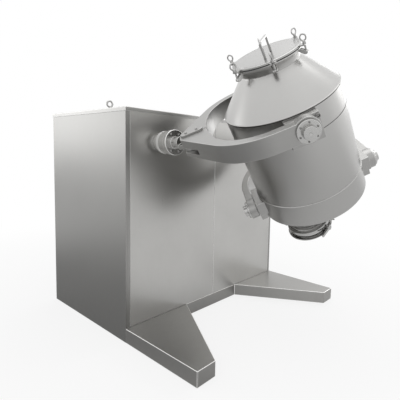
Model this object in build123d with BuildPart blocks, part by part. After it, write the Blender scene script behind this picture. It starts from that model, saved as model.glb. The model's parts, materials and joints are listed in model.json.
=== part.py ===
"""Three-dimensional motion powder mixer: a barrel carried by two crossed forks on two parallel shafts."""
from build123d import *
import os
from math import asin, atan, atan2, cos, pi, radians, sin, sqrt, tan

os.makedirs("parts", exist_ok=True)

# Cabinet and base, millimetres
shaft_side_margin = 231
cabinet_depth = 920
cabinet_height = 1350
base_height = 84
base_wall = 6
foot_length = 603
foot_root_width = 459
foot_tip_width = 122
sheet = 3
corner_return = 27
panel_gap = 2
cover_lip = 20
frame_tube = 40
frame_inset = 12

# Shafts and their supports
shaft_spacing = 949
shaft_below_top = 185
shaft_height = cabinet_height - shaft_below_top
pin_stand_off = 281
shaft_radius = 32
shaft_back_reach = 430
running_clearance = 0.05
housing_radius = 52
housing_length = 45
seal_radius = 67
seal_length = 20
collar_radius = 66
collar_length = 52
flange_radius = 74
flange_length = 26
axial_gap = 1

# Forks
link_length = shaft_spacing / sqrt(3)
crank_angle = radians(145.9)
fork_half_height = 51
nose_reach = 48
nose_half_width = 34
flare_x = 120
flare_y = 272
arm_outer = 416
arm_wall = 46
crown_x = 108
crown_radius = 560
crown_half_span = 200
tongue_offset = -13
slot_height = 30
slot_radius = 58
tongue_side_gap = 2
eye_radius = 44
fork_pin_radius = 20
open_pin_clearance = 11
open_side_gap = 5
keeper_length = 130
keeper_shift = 24
keeper_screw_spacing = 61
keeper_width = 46
keeper_height = 12

# Trunnions
upper_boss_radius = 68
lower_boss_radius = 62
trunnion_radius = 30
bush_wall = 10
cover_thickness = 12
upper_cover_radius = 59
lower_cover_radius = 54
cap_radius = 34
cap_height = 22
cover_screw_radius = 4
cover_screw_count = 6
pad_gap = 5
upper_pad_low = 92
upper_pad_high = 50
upper_pad_half_span = 85
lower_pad_low = 72
lower_pad_high = 15
lower_pad_half_span = 95
lower_pad_step = 72
lower_pad_step_half_span = 60

# Barrel, heights measured along its axis from the upper trunnions
barrel_radius = 325
barrel_wall = 6
shoulder_height = 60
cone_top_height = 228
neck_radius = 166
neck_height = 44
rim_radius = 184
rim_thickness = 8
gasket_thickness = 4
lid_radius = 187
lid_thickness = 10
weld_width = 6
weld_height = 1.5
seam_depth = 70
bead_depth = 464
band_depth = 608
band_radius = 327
outlet_offset = 146
outlet_direction = 315
outlet_radius = 105
cone_end_depth = 700
outlet_neck = 26
ferrule_radius = 126
ferrule_thickness = 7
valve_length = 28
valve_rim_radius = 140
clamp_bolt_direction = 28
clamp_lug = 26
spindle_direction = 38
lever_reach = 80

# Lid clamps and handle
clamp_count = 6
clamp_turn = -5
clamp_circle = 208
clamp_pivot_drop = 22
bolt_radius = 5
ring_radius = 15
ring_wire = 4
handle_width = 130
handle_height = 85
handle_rod = 12
handle_direction = 152
handle_shift = 45

# Inner drive
rear_bearing_depth = 400
rear_bearing_length = 50
rear_bearing_radius = 56
bearing_foot = 70
motor_shaft_radius = 19
hub_radius_large = 55
hub_radius_small = 34
hub_length = 60
tooth_width = 14
chain_gap = 7
gearbox_size = 190
gearbox_length = 150
motor_radius = 80
motor_length = 240
guide_depth = 130
guide_height = 60
sprocket_teeth_large = 36
sprocket_teeth_small = 15
chain_pitch = 25.4
chain_plane_back = 300
motor_drop = 620
chain_thickness = 16

cabinet_width = shaft_spacing + 2 * shaft_side_margin
half_width = cabinet_width / 2
front = -cabinet_depth / 2
back = cabinet_depth / 2
drive_x = -shaft_spacing / 2
driven_x = shaft_spacing / 2
pin_y = front - pin_stand_off

# Closed six-bar chain: the fork angles follow from the crank angle alone
fork_turn = asin(sqrt(3) / 2 * cos(crank_angle))
barrel_turn = 2 * atan(sqrt(3) * sin(crank_angle))
normal = Vector(sin(crank_angle), 0, cos(crank_angle))
outward = Vector(0, -1, 0)
upper_reach = outward * cos(fork_turn) + normal.cross(outward) * sin(fork_turn)
upper_trunnion = normal.cross(upper_reach)
barrel_down = upper_reach * cos(barrel_turn) + normal * sin(barrel_turn)
lower_trunnion = barrel_down.cross(upper_trunnion)
drive_pin = Vector(drive_x, pin_y, shaft_height)
driven_pin = Vector(driven_x, pin_y, shaft_height)
upper_centre = drive_pin + upper_reach * link_length
lower_centre = upper_centre + barrel_down * link_length
lower_reach = (lower_centre - driven_pin).normalized()
lower_normal = lower_reach.cross(lower_trunnion)

upper_fork = Plane(drive_pin, upper_reach, normal * -1)
lower_fork = Plane(driven_pin, lower_reach, lower_normal * -1)
barrel = Plane(upper_centre, upper_trunnion, barrel_down * -1)


def at(frame, x, y, z, axis="z"):
    """Return a plane at a local point whose normal is a local axis of the frame."""
    normals = {"x": frame.x_dir, "y": frame.y_dir, "z": frame.z_dir, "-z": frame.z_dir * -1, "-y": frame.y_dir * -1}
    normals["-x"] = frame.x_dir * -1
    across = frame.y_dir if axis in ("x", "-x") else frame.x_dir
    return Plane(origin=frame.from_local_coords(Vector(x, y, z)), x_dir=across, z_dir=normals[axis])


def keep(solid, name):
    """Label a finished piece and write it."""
    solid.label = name
    export_step(solid, f"parts/{name}.step")
    return solid


# Base: a welded box plinth with two tapered feet
foot_end = front - foot_length
inner_tip = half_width - foot_tip_width
inner_root = half_width - foot_root_width
with BuildPart() as base_frame:
    with BuildSketch() as base_plan:
        with BuildLine():
            Polyline(
                (-half_width, back), (-half_width, foot_end), (-inner_tip, foot_end), (-inner_root, front),
                (inner_root, front), (inner_tip, foot_end), (half_width, foot_end), (half_width, back),
                close=True,
            )
        make_face()
    extrude(amount=base_height)
    with BuildSketch(Plane.XY.offset(base_wall)):
        add(base_plan.sketch)
        offset(amount=-base_wall, kind=Kind.INTERSECTION, mode=Mode.REPLACE)
    extrude(amount=base_height - 2 * base_wall, mode=Mode.SUBTRACT)
    with BuildSketch(Plane.XY.offset(base_height - base_wall)):
        Rectangle(cabinet_width - 4 * frame_tube, cabinet_depth - 4 * frame_tube)
    extrude(amount=base_wall, mode=Mode.SUBTRACT)
    for side in (-1, 1):
        with BuildSketch(Plane.YZ.offset(side * half_width)):
            with Locations((0, base_height / 2)):
                Rectangle(cabinet_depth, base_height)
        extrude(amount=-side * sheet, mode=Mode.SUBTRACT)
    chamfer(base_frame.edges().filter_by(Axis.Z).group_by(Axis.Y)[0], 2)
base_frame.part.label = "base_frame"
export_step(base_frame.part, "parts/base_frame.step")

# Side panels: one sheet each, folded round the front and back corners
for side, name in ((-1, "left_side_panel"), (1, "right_side_panel")):
    with BuildPart() as side_panel:
        with BuildSketch():
            with BuildLine():
                Polyline(
                    (side * half_width, front),
                    (side * half_width, back),
                    (side * (half_width - corner_return), back),
                    (side * (half_width - corner_return), back - sheet),
                    (side * (half_width - sheet), back - sheet),
                    (side * (half_width - sheet), front + sheet),
                    (side * (half_width - corner_return), front + sheet),
                    (side * (half_width - corner_return), front),
                    close=True,
                )
            make_face()
        extrude(amount=cabinet_height - sheet)
        for y in (front, back):
            with BuildSketch(Plane.XY):
                with Locations((side * (half_width - sheet - corner_return / 2), y)):
                    Rectangle(corner_return, 2 * sheet)
            extrude(amount=base_height, mode=Mode.SUBTRACT)
        fillet(side_panel.edges().filter_by(Axis.Z).sort_by(Axis.X)[-1 if side > 0 else 0], sheet / 2)
    side_panel.part.label = name
    export_step(side_panel.part, f"parts/{name}.step")

# Front panels: two sheets that meet under the seam, each with a hole for a bearing housing
panel_bottom = base_height
panel_top = cabinet_height - sheet - 1
front_edge = half_width - corner_return - panel_gap
for side, name in ((-1, "front_panel_left"), (1, "front_panel_right")):
    with BuildPart() as front_panel:
        with BuildSketch(Plane.XZ.offset(-front)):
            with BuildLine():
                Polyline(
                    (side * panel_gap / 2, panel_bottom),
                    (side * front_edge, panel_bottom),
                    (side * front_edge, panel_top),
                    (side * panel_gap / 2, panel_top),
                    close=True,
                )
            make_face()
            with Locations((side * shaft_spacing / 2, shaft_height)):
                Circle(housing_radius + 1, mode=Mode.SUBTRACT)
        extrude(amount=-sheet)
    front_panel.part.label = name
    export_step(front_panel.part, f"parts/{name}.step")

# Rear panel: one removable sheet with screws along its sides
screw_rows = 5
with BuildPart() as rear_panel:
    with BuildSketch(Plane.XZ.offset(-back)):
        with Locations((0, (panel_bottom + panel_top) / 2)):
            Rectangle(2 * front_edge, panel_top - panel_bottom)
    extrude(amount=sheet)
rear_panel.part.label = "rear_panel"
export_step(rear_panel.part, "parts/rear_panel.step")

with BuildPart() as panel_screws:
    with BuildSketch(Plane.XZ.offset(-back)):
        for side in (-1, 1):
            with Locations((side * (front_edge - 15), (panel_bottom + panel_top) / 2)):
                with GridLocations(1, (panel_top - panel_bottom - 80) / (screw_rows - 1), 1, screw_rows):
                    Circle(7)
    extrude(amount=-3)
panel_screws.part.label = "panel_screws"
export_step(panel_screws.part, "parts/panel_screws.step")

# Top cover: a shallow pan that laps over the panels
with BuildPart() as top_cover:
    with BuildSketch(Plane.XY.offset(cabinet_height - cover_lip)):
        Rectangle(cabinet_width + 2 * sheet + 1, cabinet_depth + 2 * sheet + 1)
    extrude(amount=cover_lip + sheet)
    chamfer(top_cover.edges().group_by(Axis.Z)[-1], 1.5)
    with BuildSketch(Plane.XY.offset(cabinet_height - cover_lip)):
        Rectangle(cabinet_width + 1, cabinet_depth + 1)
    extrude(amount=cover_lip, mode=Mode.SUBTRACT)
top_cover.part.label = "top_cover"
export_step(top_cover.part, "parts/top_cover.step")

# Lifting eyes: two ring bolts on the top cover
eye_ring = 17
eye_wire = 5.5
eye_collar = 16
eye_stem = 14
eye_side_inset = 40
eye_set_back = 232
cover_top = cabinet_height + sheet
with BuildPart() as lifting_eyes:
    with Locations(*[(side * (half_width - eye_side_inset), front + eye_set_back, cover_top) for side in (-1, 1)]):
        Cylinder(eye_collar, 5, align=(Align.CENTER, Align.CENTER, Align.MIN))
        Cylinder(eye_wire, eye_stem, align=(Align.CENTER, Align.CENTER, Align.MIN))
    with Locations(*[(side * (half_width - eye_side_inset), front + eye_set_back, cover_top + eye_stem + eye_ring) for side in (-1, 1)]):
        Torus(eye_ring, eye_wire, rotation=(90, 0, 0))
lifting_eyes.part.label = "lifting_eyes"
export_step(lifting_eyes.part, "parts/lifting_eyes.step")

# Inner frame: posts, top rails and the beams that carry the bearings
frame_x = half_width - sheet - frame_inset - frame_tube / 2
frame_front = front + sheet + frame_inset + frame_tube / 2
frame_back = back - sheet - frame_inset - frame_tube / 2
frame_top = cabinet_height - frame_inset
rear_bearing_y = front + rear_bearing_depth
beam_top = shaft_height - bearing_foot
with BuildPart() as inner_frame:
    with Locations(*[(sx * frame_x, y, base_height) for sx in (-1, 1) for y in (frame_front, frame_back)]):
        Box(frame_tube, frame_tube, frame_top - base_height, align=(Align.CENTER, Align.CENTER, Align.MIN))
    for y in (frame_front, frame_back):
        with Locations((0, y, frame_top - frame_tube / 2)):
            Box(2 * frame_x, frame_tube, frame_tube)
    for sx in (-1, 1):
        with Locations((sx * frame_x, (frame_front + frame_back) / 2, frame_top - frame_tube / 2)):
            Box(frame_tube, frame_back - frame_front, frame_tube)
        with Locations((sx * frame_x, (frame_front + frame_back) / 2, beam_top - frame_tube)):
            Box(frame_tube, frame_back - frame_front, 2 * frame_tube)
    for y in (frame_front, rear_bearing_y):
        with Locations((0, y, beam_top - frame_tube)):
            Box(2 * frame_x, frame_tube * 1.5 if y == rear_bearing_y else frame_tube, 2 * frame_tube)
inner_frame.part.label = "inner_frame"
export_step(inner_frame.part, "parts/inner_frame.step")

# Front bearing housings and their white seal rings, one for each shaft
bearing_bore = shaft_radius + running_clearance
for x, name in ((drive_x, "drive_bearing_housing"), (driven_x, "driven_bearing_housing")):
    housing_foot = shaft_height - beam_top
    with BuildPart() as housing:
        with BuildSketch(Plane.XZ.offset(-frame_front - frame_tube / 2)):
            with Locations((x, shaft_height)):
                Circle(housing_radius)
        extrude(amount=frame_front + frame_tube / 2 - front + housing_length)
        with Locations((x, frame_front, shaft_height - housing_foot / 2)):
            Box(2 * housing_radius, frame_tube, housing_foot)
        with Locations(Plane.XZ.offset(-frame_front).shift_origin((x, frame_front, shaft_height))):
            Hole(bearing_bore)
    housing.part.label = name
    export_step(housing.part, f"parts/{name}.step")

for x, name in ((drive_x, "drive_seal_ring"), (driven_x, "driven_seal_ring")):
    with BuildPart() as seal_ring:
        with BuildSketch(Plane.XZ.offset(-front + housing_length)):
            with Locations((x, shaft_height)):
                Circle(seal_radius)
                Circle(bearing_bore, mode=Mode.SUBTRACT)
        extrude(amount=seal_length)
        fillet(seal_ring.edges().filter_by(GeomType.CIRCLE).group_by(SortBy.RADIUS)[-1], seal_length / 3)
    seal_ring.part.label = name
    export_step(seal_ring.part, f"parts/{name}.step")

# Rear bearing blocks on the beam
with BuildPart() as rear_bearing_blocks:
    for x in (drive_x, driven_x):
        with BuildSketch(Plane.XZ.offset(-rear_bearing_y - rear_bearing_length / 2)):
            with Locations((x, shaft_height)):
                Circle(rear_bearing_radius)
            with Locations((x, shaft_height - bearing_foot + 12)):
                Rectangle(3.4 * rear_bearing_radius, 24)
            with Locations((x, shaft_height)):
                Circle(bearing_bore, mode=Mode.SUBTRACT)
        extrude(amount=rear_bearing_length)
rear_bearing_blocks.part.label = "rear_bearing_blocks"
export_step(rear_bearing_blocks.part, "parts/rear_bearing_blocks.step")


def shaft_with_eye(x, bore_radius, eye_height, plane_normal):
    """Build a shaft along Y with its bolted collar and the flat eye that the fork pin passes."""
    eye_frame = Plane(origin=(x, pin_y, shaft_height), x_dir=(0, 1, 0), z_dir=plane_normal)
    collar_front = front - housing_length - seal_length - axial_gap - collar_length - flange_length
    with BuildPart() as shaft:
        with BuildSketch(Plane.XZ.offset(-front - shaft_back_reach)):
            with Locations((x, shaft_height)):
                Circle(shaft_radius)
        extrude(amount=shaft_back_reach - collar_front + front)
        with BuildSketch(Plane.XZ.offset(-collar_front - flange_length)):
            with Locations((x, shaft_height)):
                Circle(collar_radius)
        extrude(amount=-collar_length)
        with BuildSketch(Plane.XZ.offset(-collar_front)):
            with Locations((x, shaft_height)):
                Circle(flange_radius)
        extrude(amount=-flange_length)
        chamfer(shaft.edges().filter_by(GeomType.CIRCLE).group_by(SortBy.RADIUS)[-1], 2)
        neck_start = pin_y + slot_radius + 26
        with BuildSketch(Plane.XZ.offset(-collar_front)):
            with Locations((x, shaft_height)):
                Circle(shaft_radius + 4)
        extrude(amount=collar_front - neck_start)
        with BuildSketch(eye_frame.offset(tongue_offset - eye_height / 2)):
            Circle(eye_radius)
            with Locations(((neck_start - pin_y) / 2, 0)):
                Rectangle(neck_start - pin_y + 16, 2 * shaft_radius)
            Circle(bore_radius, mode=Mode.SUBTRACT)
        extrude(amount=eye_height)
    return shaft.part


drive_shaft = shaft_with_eye(drive_x, fork_pin_radius + running_clearance,
                             slot_height - 2 * tongue_side_gap, normal * -1)
drive_shaft.label = "drive_shaft"
export_step(drive_shaft, "parts/drive_shaft.step")
driven_shaft = shaft_with_eye(driven_x, fork_pin_radius + open_pin_clearance,
                              slot_height - 2 * open_side_gap, lower_normal * -1)
driven_shaft.label = "driven_shaft"
export_step(driven_shaft, "parts/driven_shaft.step")

# Flange bolts on each shaft collar
collar_face = front - housing_length - seal_length - axial_gap - collar_length - flange_length
for x, name in ((drive_x, "drive_flange_bolts"), (driven_x, "driven_flange_bolts")):
    with BuildPart() as flange_bolts:
        with BuildSketch(Plane.XZ.offset(-collar_face)):
            with Locations((x, shaft_height)):
                with PolarLocations((flange_radius + shaft_radius + 4) / 2, 6):
                    RegularPolygon(8, 6)
        extrude(amount=7)
    flange_bolts.part.label = name
    export_step(flange_bolts.part, f"parts/{name}.step")


def tangent_run(rise, angle):
    """Length along the arm in which an arc turns by the given angle while it rises."""
    return rise / tan(angle / 2)


def fork(frame, boss_radius):
    """Build a welded fork: hub with its slot, curved crown and two arms with bored ends."""
    arm_inner = arm_outer - arm_wall
    flare_angle = atan2(flare_y - nose_half_width, flare_x + nose_reach)
    arm_start = flare_x + tangent_run(arm_outer - flare_y, flare_angle)
    crown_end = crown_x + crown_radius - sqrt(crown_radius ** 2 - crown_half_span ** 2)
    inner_angle = pi / 2 - asin(crown_half_span / crown_radius)
    inner_start = crown_end + tangent_run(arm_inner - crown_half_span, inner_angle)
    with BuildPart() as body:
        with BuildSketch(frame.offset(-fork_half_height)):
            with BuildLine():
                Line((-nose_reach, 0), (-nose_reach, nose_half_width))
                flare = Line((-nose_reach, nose_half_width), (flare_x, flare_y))
                TangentArc((flare_x, flare_y), (arm_start, arm_outer), tangent=flare % 1)
                Line((arm_start, arm_outer), (link_length, arm_outer))
                Line((link_length, arm_outer), (link_length, arm_inner))
                Line((link_length, arm_inner), (inner_start, arm_inner))
                TangentArc((inner_start, arm_inner), (crown_end, crown_half_span), tangent=(-1, 0))
                RadiusArc((crown_end, crown_half_span), (crown_x, 0), crown_radius)
                mirror(about=Plane.XZ)
            make_face()
        extrude(amount=2 * fork_half_height)
        fillet(body.edges().filter_by(Axis(frame.origin, frame.z_dir)).sort_by(Axis(frame.origin, frame.x_dir))[:2], 12)
        for side in (-1, 1):
            with BuildSketch(at(frame, link_length, side * arm_inner, 0, "y")):
                Circle(boss_radius)
            extrude(amount=side * arm_wall)
            with BuildSketch(at(frame, link_length, side * arm_inner, 0, "y")):
                Circle(trunnion_radius + bush_wall)
            extrude(amount=side * arm_wall, mode=Mode.SUBTRACT)
        # The slot runs round the hub so that the shaft's eye can swing between the two plates
        with BuildSketch(frame.offset(tongue_offset - slot_height / 2)):
            Circle(slot_radius)
            with Locations((-nose_reach / 2, 0)):
                Rectangle(nose_reach + slot_radius, 4 * flare_y)
        extrude(amount=slot_height, mode=Mode.SUBTRACT)
        with BuildSketch(frame.offset(-fork_half_height)):
            Circle(fork_pin_radius)
        extrude(amount=2 * fork_half_height, mode=Mode.SUBTRACT)
    return body.part


def fork_pin(frame):
    """Build the pin that joins a fork to its shaft, with its keeper plate on the upper face."""
    with BuildPart() as pin:
        with BuildSketch(frame.offset(-fork_half_height)):
            Circle(fork_pin_radius)
        extrude(amount=2 * fork_half_height)
    return pin.part


def pin_keeper(frame):
    """Build the oval plate over the pin's head with its two screws."""
    with BuildPart() as keeper:
        with BuildSketch(frame.offset(fork_half_height)):
            with Locations((keeper_shift, 0)):
                SlotOverall(keeper_length, keeper_width)
        extrude(amount=keeper_height)
        chamfer(keeper.faces().sort_by(Axis(frame.origin, frame.z_dir))[-1].edges(), 2)
        with BuildSketch(frame.offset(fork_half_height + keeper_height)):
            with Locations((keeper_shift, 0)):
                with GridLocations(keeper_screw_spacing, 1, 2, 1):
                    RegularPolygon(8, 6)
        extrude(amount=6)
    return keeper.part


def bushes(frame):
    """Build the two plain bushes that line a fork's arm ends."""
    with BuildPart() as pair:
        for side in (-1, 1):
            with BuildSketch(at(frame, link_length, side * (arm_outer - arm_wall), 0, "y")):
                Circle(trunnion_radius + bush_wall)
                Circle(trunnion_radius + running_clearance, mode=Mode.SUBTRACT)
            extrude(amount=side * arm_wall)
    return pair.part


def covers(frame, cover_radius):
    """Build the two round bearing covers with their domed caps."""
    with BuildPart() as pair:
        for side in (-1, 1):
            with BuildSketch(at(frame, link_length, side * arm_outer, 0, "y")):
                Circle(cover_radius)
            extrude(amount=side * cover_thickness)
            with BuildSketch(at(frame, link_length, side * (arm_outer + cover_thickness), 0, "y")):
                Circle(cap_radius)
            extrude(amount=side * cap_height)
        rims = pair.edges().filter_by(GeomType.CIRCLE)
        chamfer(rims.sort_by(Axis(frame.origin, frame.y_dir))[0], 2.5)
        chamfer(pair.edges().filter_by(GeomType.CIRCLE).sort_by(Axis(frame.origin, frame.y_dir))[-1], 2.5)
    return pair.part


def cover_screws(frame, cover_radius):
    """Build the screw heads round the two bearing covers."""
    with BuildPart() as heads:
        for side in (-1, 1):
            with BuildSketch(at(frame, link_length, side * (arm_outer + cover_thickness), 0, "y")):
                with PolarLocations((cover_radius + cap_radius) / 2, cover_screw_count, start_angle=15):
                    Circle(cover_screw_radius)
            extrude(amount=side * 4)
    return heads.part


forks = (("upper", upper_fork, upper_boss_radius, upper_cover_radius),
         ("lower", lower_fork, lower_boss_radius, lower_cover_radius))
for level, frame, boss_radius, cover_radius in forks:
    keep(fork(frame, boss_radius), f"{level}_fork")
    keep(fork_pin(frame), f"{level}_fork_pin")
    keep(pin_keeper(frame), f"{level}_pin_keeper")
    keep(bushes(frame), f"{level}_trunnion_bushes")
    keep(covers(frame, cover_radius), f"{level}_bearing_covers")
    keep(cover_screws(frame, cover_radius), f"{level}_cover_screws")

# Barrel: cone, cylinder, lower band and an eccentric bottom cone with its outlet neck
rim_base = cone_top_height + neck_height
rim_top = rim_base + rim_thickness
side_plane = Plane(origin=barrel.origin, x_dir=barrel.x_dir, z_dir=barrel.y_dir * -1)
outlet_point = Vector(outlet_offset, 0, 0).rotate(Axis.Z, outlet_direction)
outlet_end_depth = cone_end_depth + outlet_neck
with BuildPart() as barrel_shell:
    with BuildSketch(side_plane):
        with BuildLine():
            Polyline(
                (0, rim_top), (rim_radius, rim_top), (rim_radius, rim_base), (neck_radius, rim_base),
                (neck_radius, cone_top_height), (barrel_radius, shoulder_height),
                (barrel_radius, -bead_depth), (band_radius, -bead_depth),
                (band_radius, -band_depth), (0, -band_depth), close=True,
            )
        make_face()
    revolve(axis=Axis(barrel.origin, barrel.z_dir))
    for height, swell in ((shoulder_height, 2), (-seam_depth, weld_height), (-bead_depth, 5)):
        with BuildSketch(barrel.offset(height - weld_width / 2)):
            Circle(barrel_radius + swell)
        extrude(amount=weld_width)
    with BuildSketch(barrel.offset(-band_depth)):
        Circle(barrel_radius - 4)
    with BuildSketch(barrel.offset(-cone_end_depth)):
        with Locations(outlet_point):
            Circle(outlet_radius)
    loft()
    with BuildSketch(barrel.offset(-outlet_end_depth)):
        with Locations(outlet_point):
            Circle(outlet_radius)
    extrude(amount=outlet_end_depth - cone_end_depth)
    with BuildSketch(barrel.offset(-outlet_end_depth)):
        with Locations(outlet_point):
            Circle(ferrule_radius)
    extrude(amount=ferrule_thickness)
    # Inside
    with BuildSketch(side_plane):
        with BuildLine():
            Polyline(
                (0, rim_top), (neck_radius - barrel_wall, rim_top),
                (neck_radius - barrel_wall, cone_top_height - barrel_wall / 2),
                (barrel_radius - barrel_wall, shoulder_height - barrel_wall / 2),
                (barrel_radius - barrel_wall, -band_depth), (0, -band_depth), close=True,
            )
        make_face()
    revolve(axis=Axis(barrel.origin, barrel.z_dir), mode=Mode.SUBTRACT)
    with BuildSketch(barrel.offset(-band_depth)):
        Circle(barrel_radius - 4 - 2 * barrel_wall)
    with BuildSketch(barrel.offset(-cone_end_depth)):
        with Locations(outlet_point):
            Circle(outlet_radius - barrel_wall)
    loft(mode=Mode.SUBTRACT)
    with BuildSketch(barrel.offset(-outlet_end_depth)):
        with Locations(outlet_point):
            Circle(outlet_radius - barrel_wall)
    extrude(amount=outlet_end_depth - cone_end_depth, mode=Mode.SUBTRACT)
barrel_shell.part.label = "barrel_shell"
export_step(barrel_shell.part, "parts/barrel_shell.step")


def trunnion_pads(level, axis, low, high, half_span, step_high, step_half_span):
    """Build the two blocks that carry a pair of trunnions on the barrel's wall."""
    outer_face = arm_outer - arm_wall - pad_gap
    with BuildPart() as pads:
        for side in (-1, 1):
            with BuildSketch(at(barrel, 0, 0, level, axis)):
                with Locations((0, (high - low) / 2)):
                    Rectangle(2 * half_span, high + low)
                if step_high > high:
                    with Locations((0, (high + step_high) / 2)):
                        Rectangle(2 * step_half_span, step_high - high)
            extrude(amount=side * outer_face)
        with BuildSketch(barrel.offset(level - 2 * (high + step_high))):
            Circle(barrel_radius - barrel_wall / 2)
        extrude(amount=cone_top_height - level + 2 * (high + step_high), mode=Mode.SUBTRACT)
        add(barrel_shell.part, mode=Mode.SUBTRACT)
    return pads.part


def trunnions(level, axis):
    """Build the two stub axles on the pads, each with a shoulder against the arm."""
    outer_face = arm_outer - arm_wall - pad_gap
    with BuildPart() as stubs:
        for side in (-1, 1):
            start = at(barrel, 0, 0, level, axis)
            with BuildSketch(start.offset(side * outer_face)):
                Circle(trunnion_radius)
            extrude(amount=side * (arm_wall + pad_gap - 0.5))
            with BuildSketch(start.offset(side * outer_face)):
                Circle(trunnion_radius + bush_wall)
            extrude(amount=side * (pad_gap - 0.5))
    return stubs.part


upper_pads = trunnion_pads(0, "x", upper_pad_low, upper_pad_high, upper_pad_half_span, 0, 0)
lower_pads = trunnion_pads(-link_length, "y", lower_pad_low, lower_pad_high, lower_pad_half_span,
                           lower_pad_step, lower_pad_step_half_span)
keep(upper_pads, "upper_trunnion_pads")
keep(lower_pads, "lower_trunnion_pads")
keep(trunnions(0, "x"), "upper_trunnions")
keep(trunnions(-link_length, "y"), "lower_trunnions")

# Lid, its gasket and its handle
lid_base = rim_top + gasket_thickness
lid_top = lid_base + lid_thickness
with BuildPart() as lid_gasket:
    with BuildSketch(barrel.offset(rim_top)):
        Circle(rim_radius - 2)
        Circle(neck_radius - barrel_wall, mode=Mode.SUBTRACT)
    extrude(amount=gasket_thickness)
lid_gasket.part.label = "lid_gasket"
export_step(lid_gasket.part, "parts/lid_gasket.step")

slot_width = 2 * bolt_radius + 3
lug_reach = 5
lug_height = 7
clamp_angles = [clamp_turn + 360 / clamp_count * i for i in range(clamp_count)]
with BuildPart() as lid:
    with BuildSketch(barrel.offset(lid_base)):
        Circle(lid_radius)
    extrude(amount=lid_thickness)
    fillet(lid.edges().filter_by(GeomType.CIRCLE).group_by(Axis(barrel.origin, barrel.z_dir))[-1], 3)
    with BuildSketch(barrel.offset(lid_base)):
        with PolarLocations(0, clamp_count, start_angle=clamp_turn):
            with Locations(((lid_radius - 12 + clamp_circle + lug_reach) / 2, 0)):
                Rectangle(clamp_circle + lug_reach - lid_radius + 12, 34)
    extrude(amount=lug_height)
    with BuildSketch(barrel.offset(lid_base)):
        with PolarLocations(0, clamp_count, start_angle=clamp_turn):
            with Locations((clamp_circle + slot_width, 0)):
                Rectangle(slot_width + 2 * slot_width, slot_width)
    extrude(amount=lug_height, mode=Mode.SUBTRACT)
lid.part.label = "lid"
export_step(lid.part, "parts/lid.step")

handle_axis = Plane(
    origin=barrel.from_local_coords(Vector(handle_shift, 0, lid_top)),
    x_dir=barrel.x_dir.rotate(Axis((0, 0, 0), barrel.z_dir), handle_direction),
    z_dir=barrel.x_dir.rotate(Axis((0, 0, 0), barrel.z_dir), handle_direction - 90),
)
with BuildPart() as lid_handle:
    with BuildSketch(handle_axis.offset(-handle_rod / 2)):
        with Locations((0, handle_height / 2)):
            Rectangle(handle_width, handle_height)
        with Locations((0, (handle_height - handle_rod) / 2)):
            Rectangle(handle_width - 2 * handle_rod, handle_height - handle_rod, mode=Mode.SUBTRACT)
    extrude(amount=handle_rod)
    corners = lid_handle.edges().filter_by(Axis(barrel.origin, handle_axis.z_dir))
    fillet(corners.group_by(Axis(barrel.origin, barrel.z_dir))[-1], 1.2 * handle_rod)
lid_handle.part.label = "lid_handle"
export_step(lid_handle.part, "parts/lid_handle.step")

# Clamp brackets: two ears with a pivot pin under the barrel's rim for each swing bolt
pivot_height = rim_base - clamp_pivot_drop
ear_thickness = 5
bolt_width = 2 * bolt_radius
with BuildPart() as clamp_brackets:
    for angle in clamp_angles:
        spoke = Plane(origin=barrel.origin, x_dir=barrel.x_dir.rotate(Axis((0, 0, 0), barrel.z_dir), angle), z_dir=barrel.z_dir)
        for side in (-1, 1):
            ear_face = side * (bolt_width / 2 + 1)
            with BuildSketch(at(spoke, 0, ear_face, 0, "-y")):
                with BuildLine():
                    Polyline(
                        (neck_radius, pivot_height - 12), (clamp_circle - 4, pivot_height - 9),
                        (clamp_circle + 9, pivot_height), (clamp_circle, pivot_height + 9),
                        (rim_radius, rim_base), (neck_radius, rim_base), close=True,
                    )
                make_face()
            extrude(amount=-side * ear_thickness)
        with BuildSketch(at(spoke, clamp_circle, -(bolt_width / 2 + 1 + ear_thickness + 2), pivot_height, "y")):
            Circle(3)
        extrude(amount=bolt_width + 2 * (1 + ear_thickness + 2))
clamp_brackets.part.label = "clamp_brackets"
export_step(clamp_brackets.part, "parts/clamp_brackets.step")

# Swing bolts: an eye on the pivot, a stud through the lid's slot and a ring nut on top
nut_gap = 0.8
nut_base = lid_base + lug_height + nut_gap
nut_height = 14
for number, angle in enumerate(clamp_angles, start=1):
    spoke = Plane(origin=barrel.origin, x_dir=barrel.x_dir.rotate(Axis((0, 0, 0), barrel.z_dir), angle), z_dir=barrel.z_dir)
    stud = Plane(origin=spoke.from_local_coords(Vector(clamp_circle, 0, 0)), x_dir=spoke.x_dir, z_dir=spoke.z_dir)
    ring_centre = nut_base + nut_height + ring_radius - 1
    with BuildPart() as swing_bolt:
        with BuildSketch(at(stud, 0, -bolt_width / 2, pivot_height, "y")):
            Circle(8)
        extrude(amount=bolt_width)
        with BuildSketch(stud.offset(pivot_height)):
            Circle(bolt_radius - 0.2)
        extrude(amount=nut_base + nut_height / 2 - pivot_height)
        with BuildSketch(stud.offset(nut_base)):
            Circle(9)
        extrude(amount=nut_height)
        with Locations(at(stud, 0, 0, ring_centre, "y")):
            Torus(ring_radius, ring_wire)
        with BuildSketch(at(stud, 0, -bolt_width / 2, pivot_height, "y")):
            Circle(3 + running_clearance)
        extrude(amount=bolt_width, mode=Mode.SUBTRACT)
    swing_bolt.part.label = f"swing_bolt_{number}"
    export_step(swing_bolt.part, f"parts/swing_bolt_{number}.step")

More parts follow.
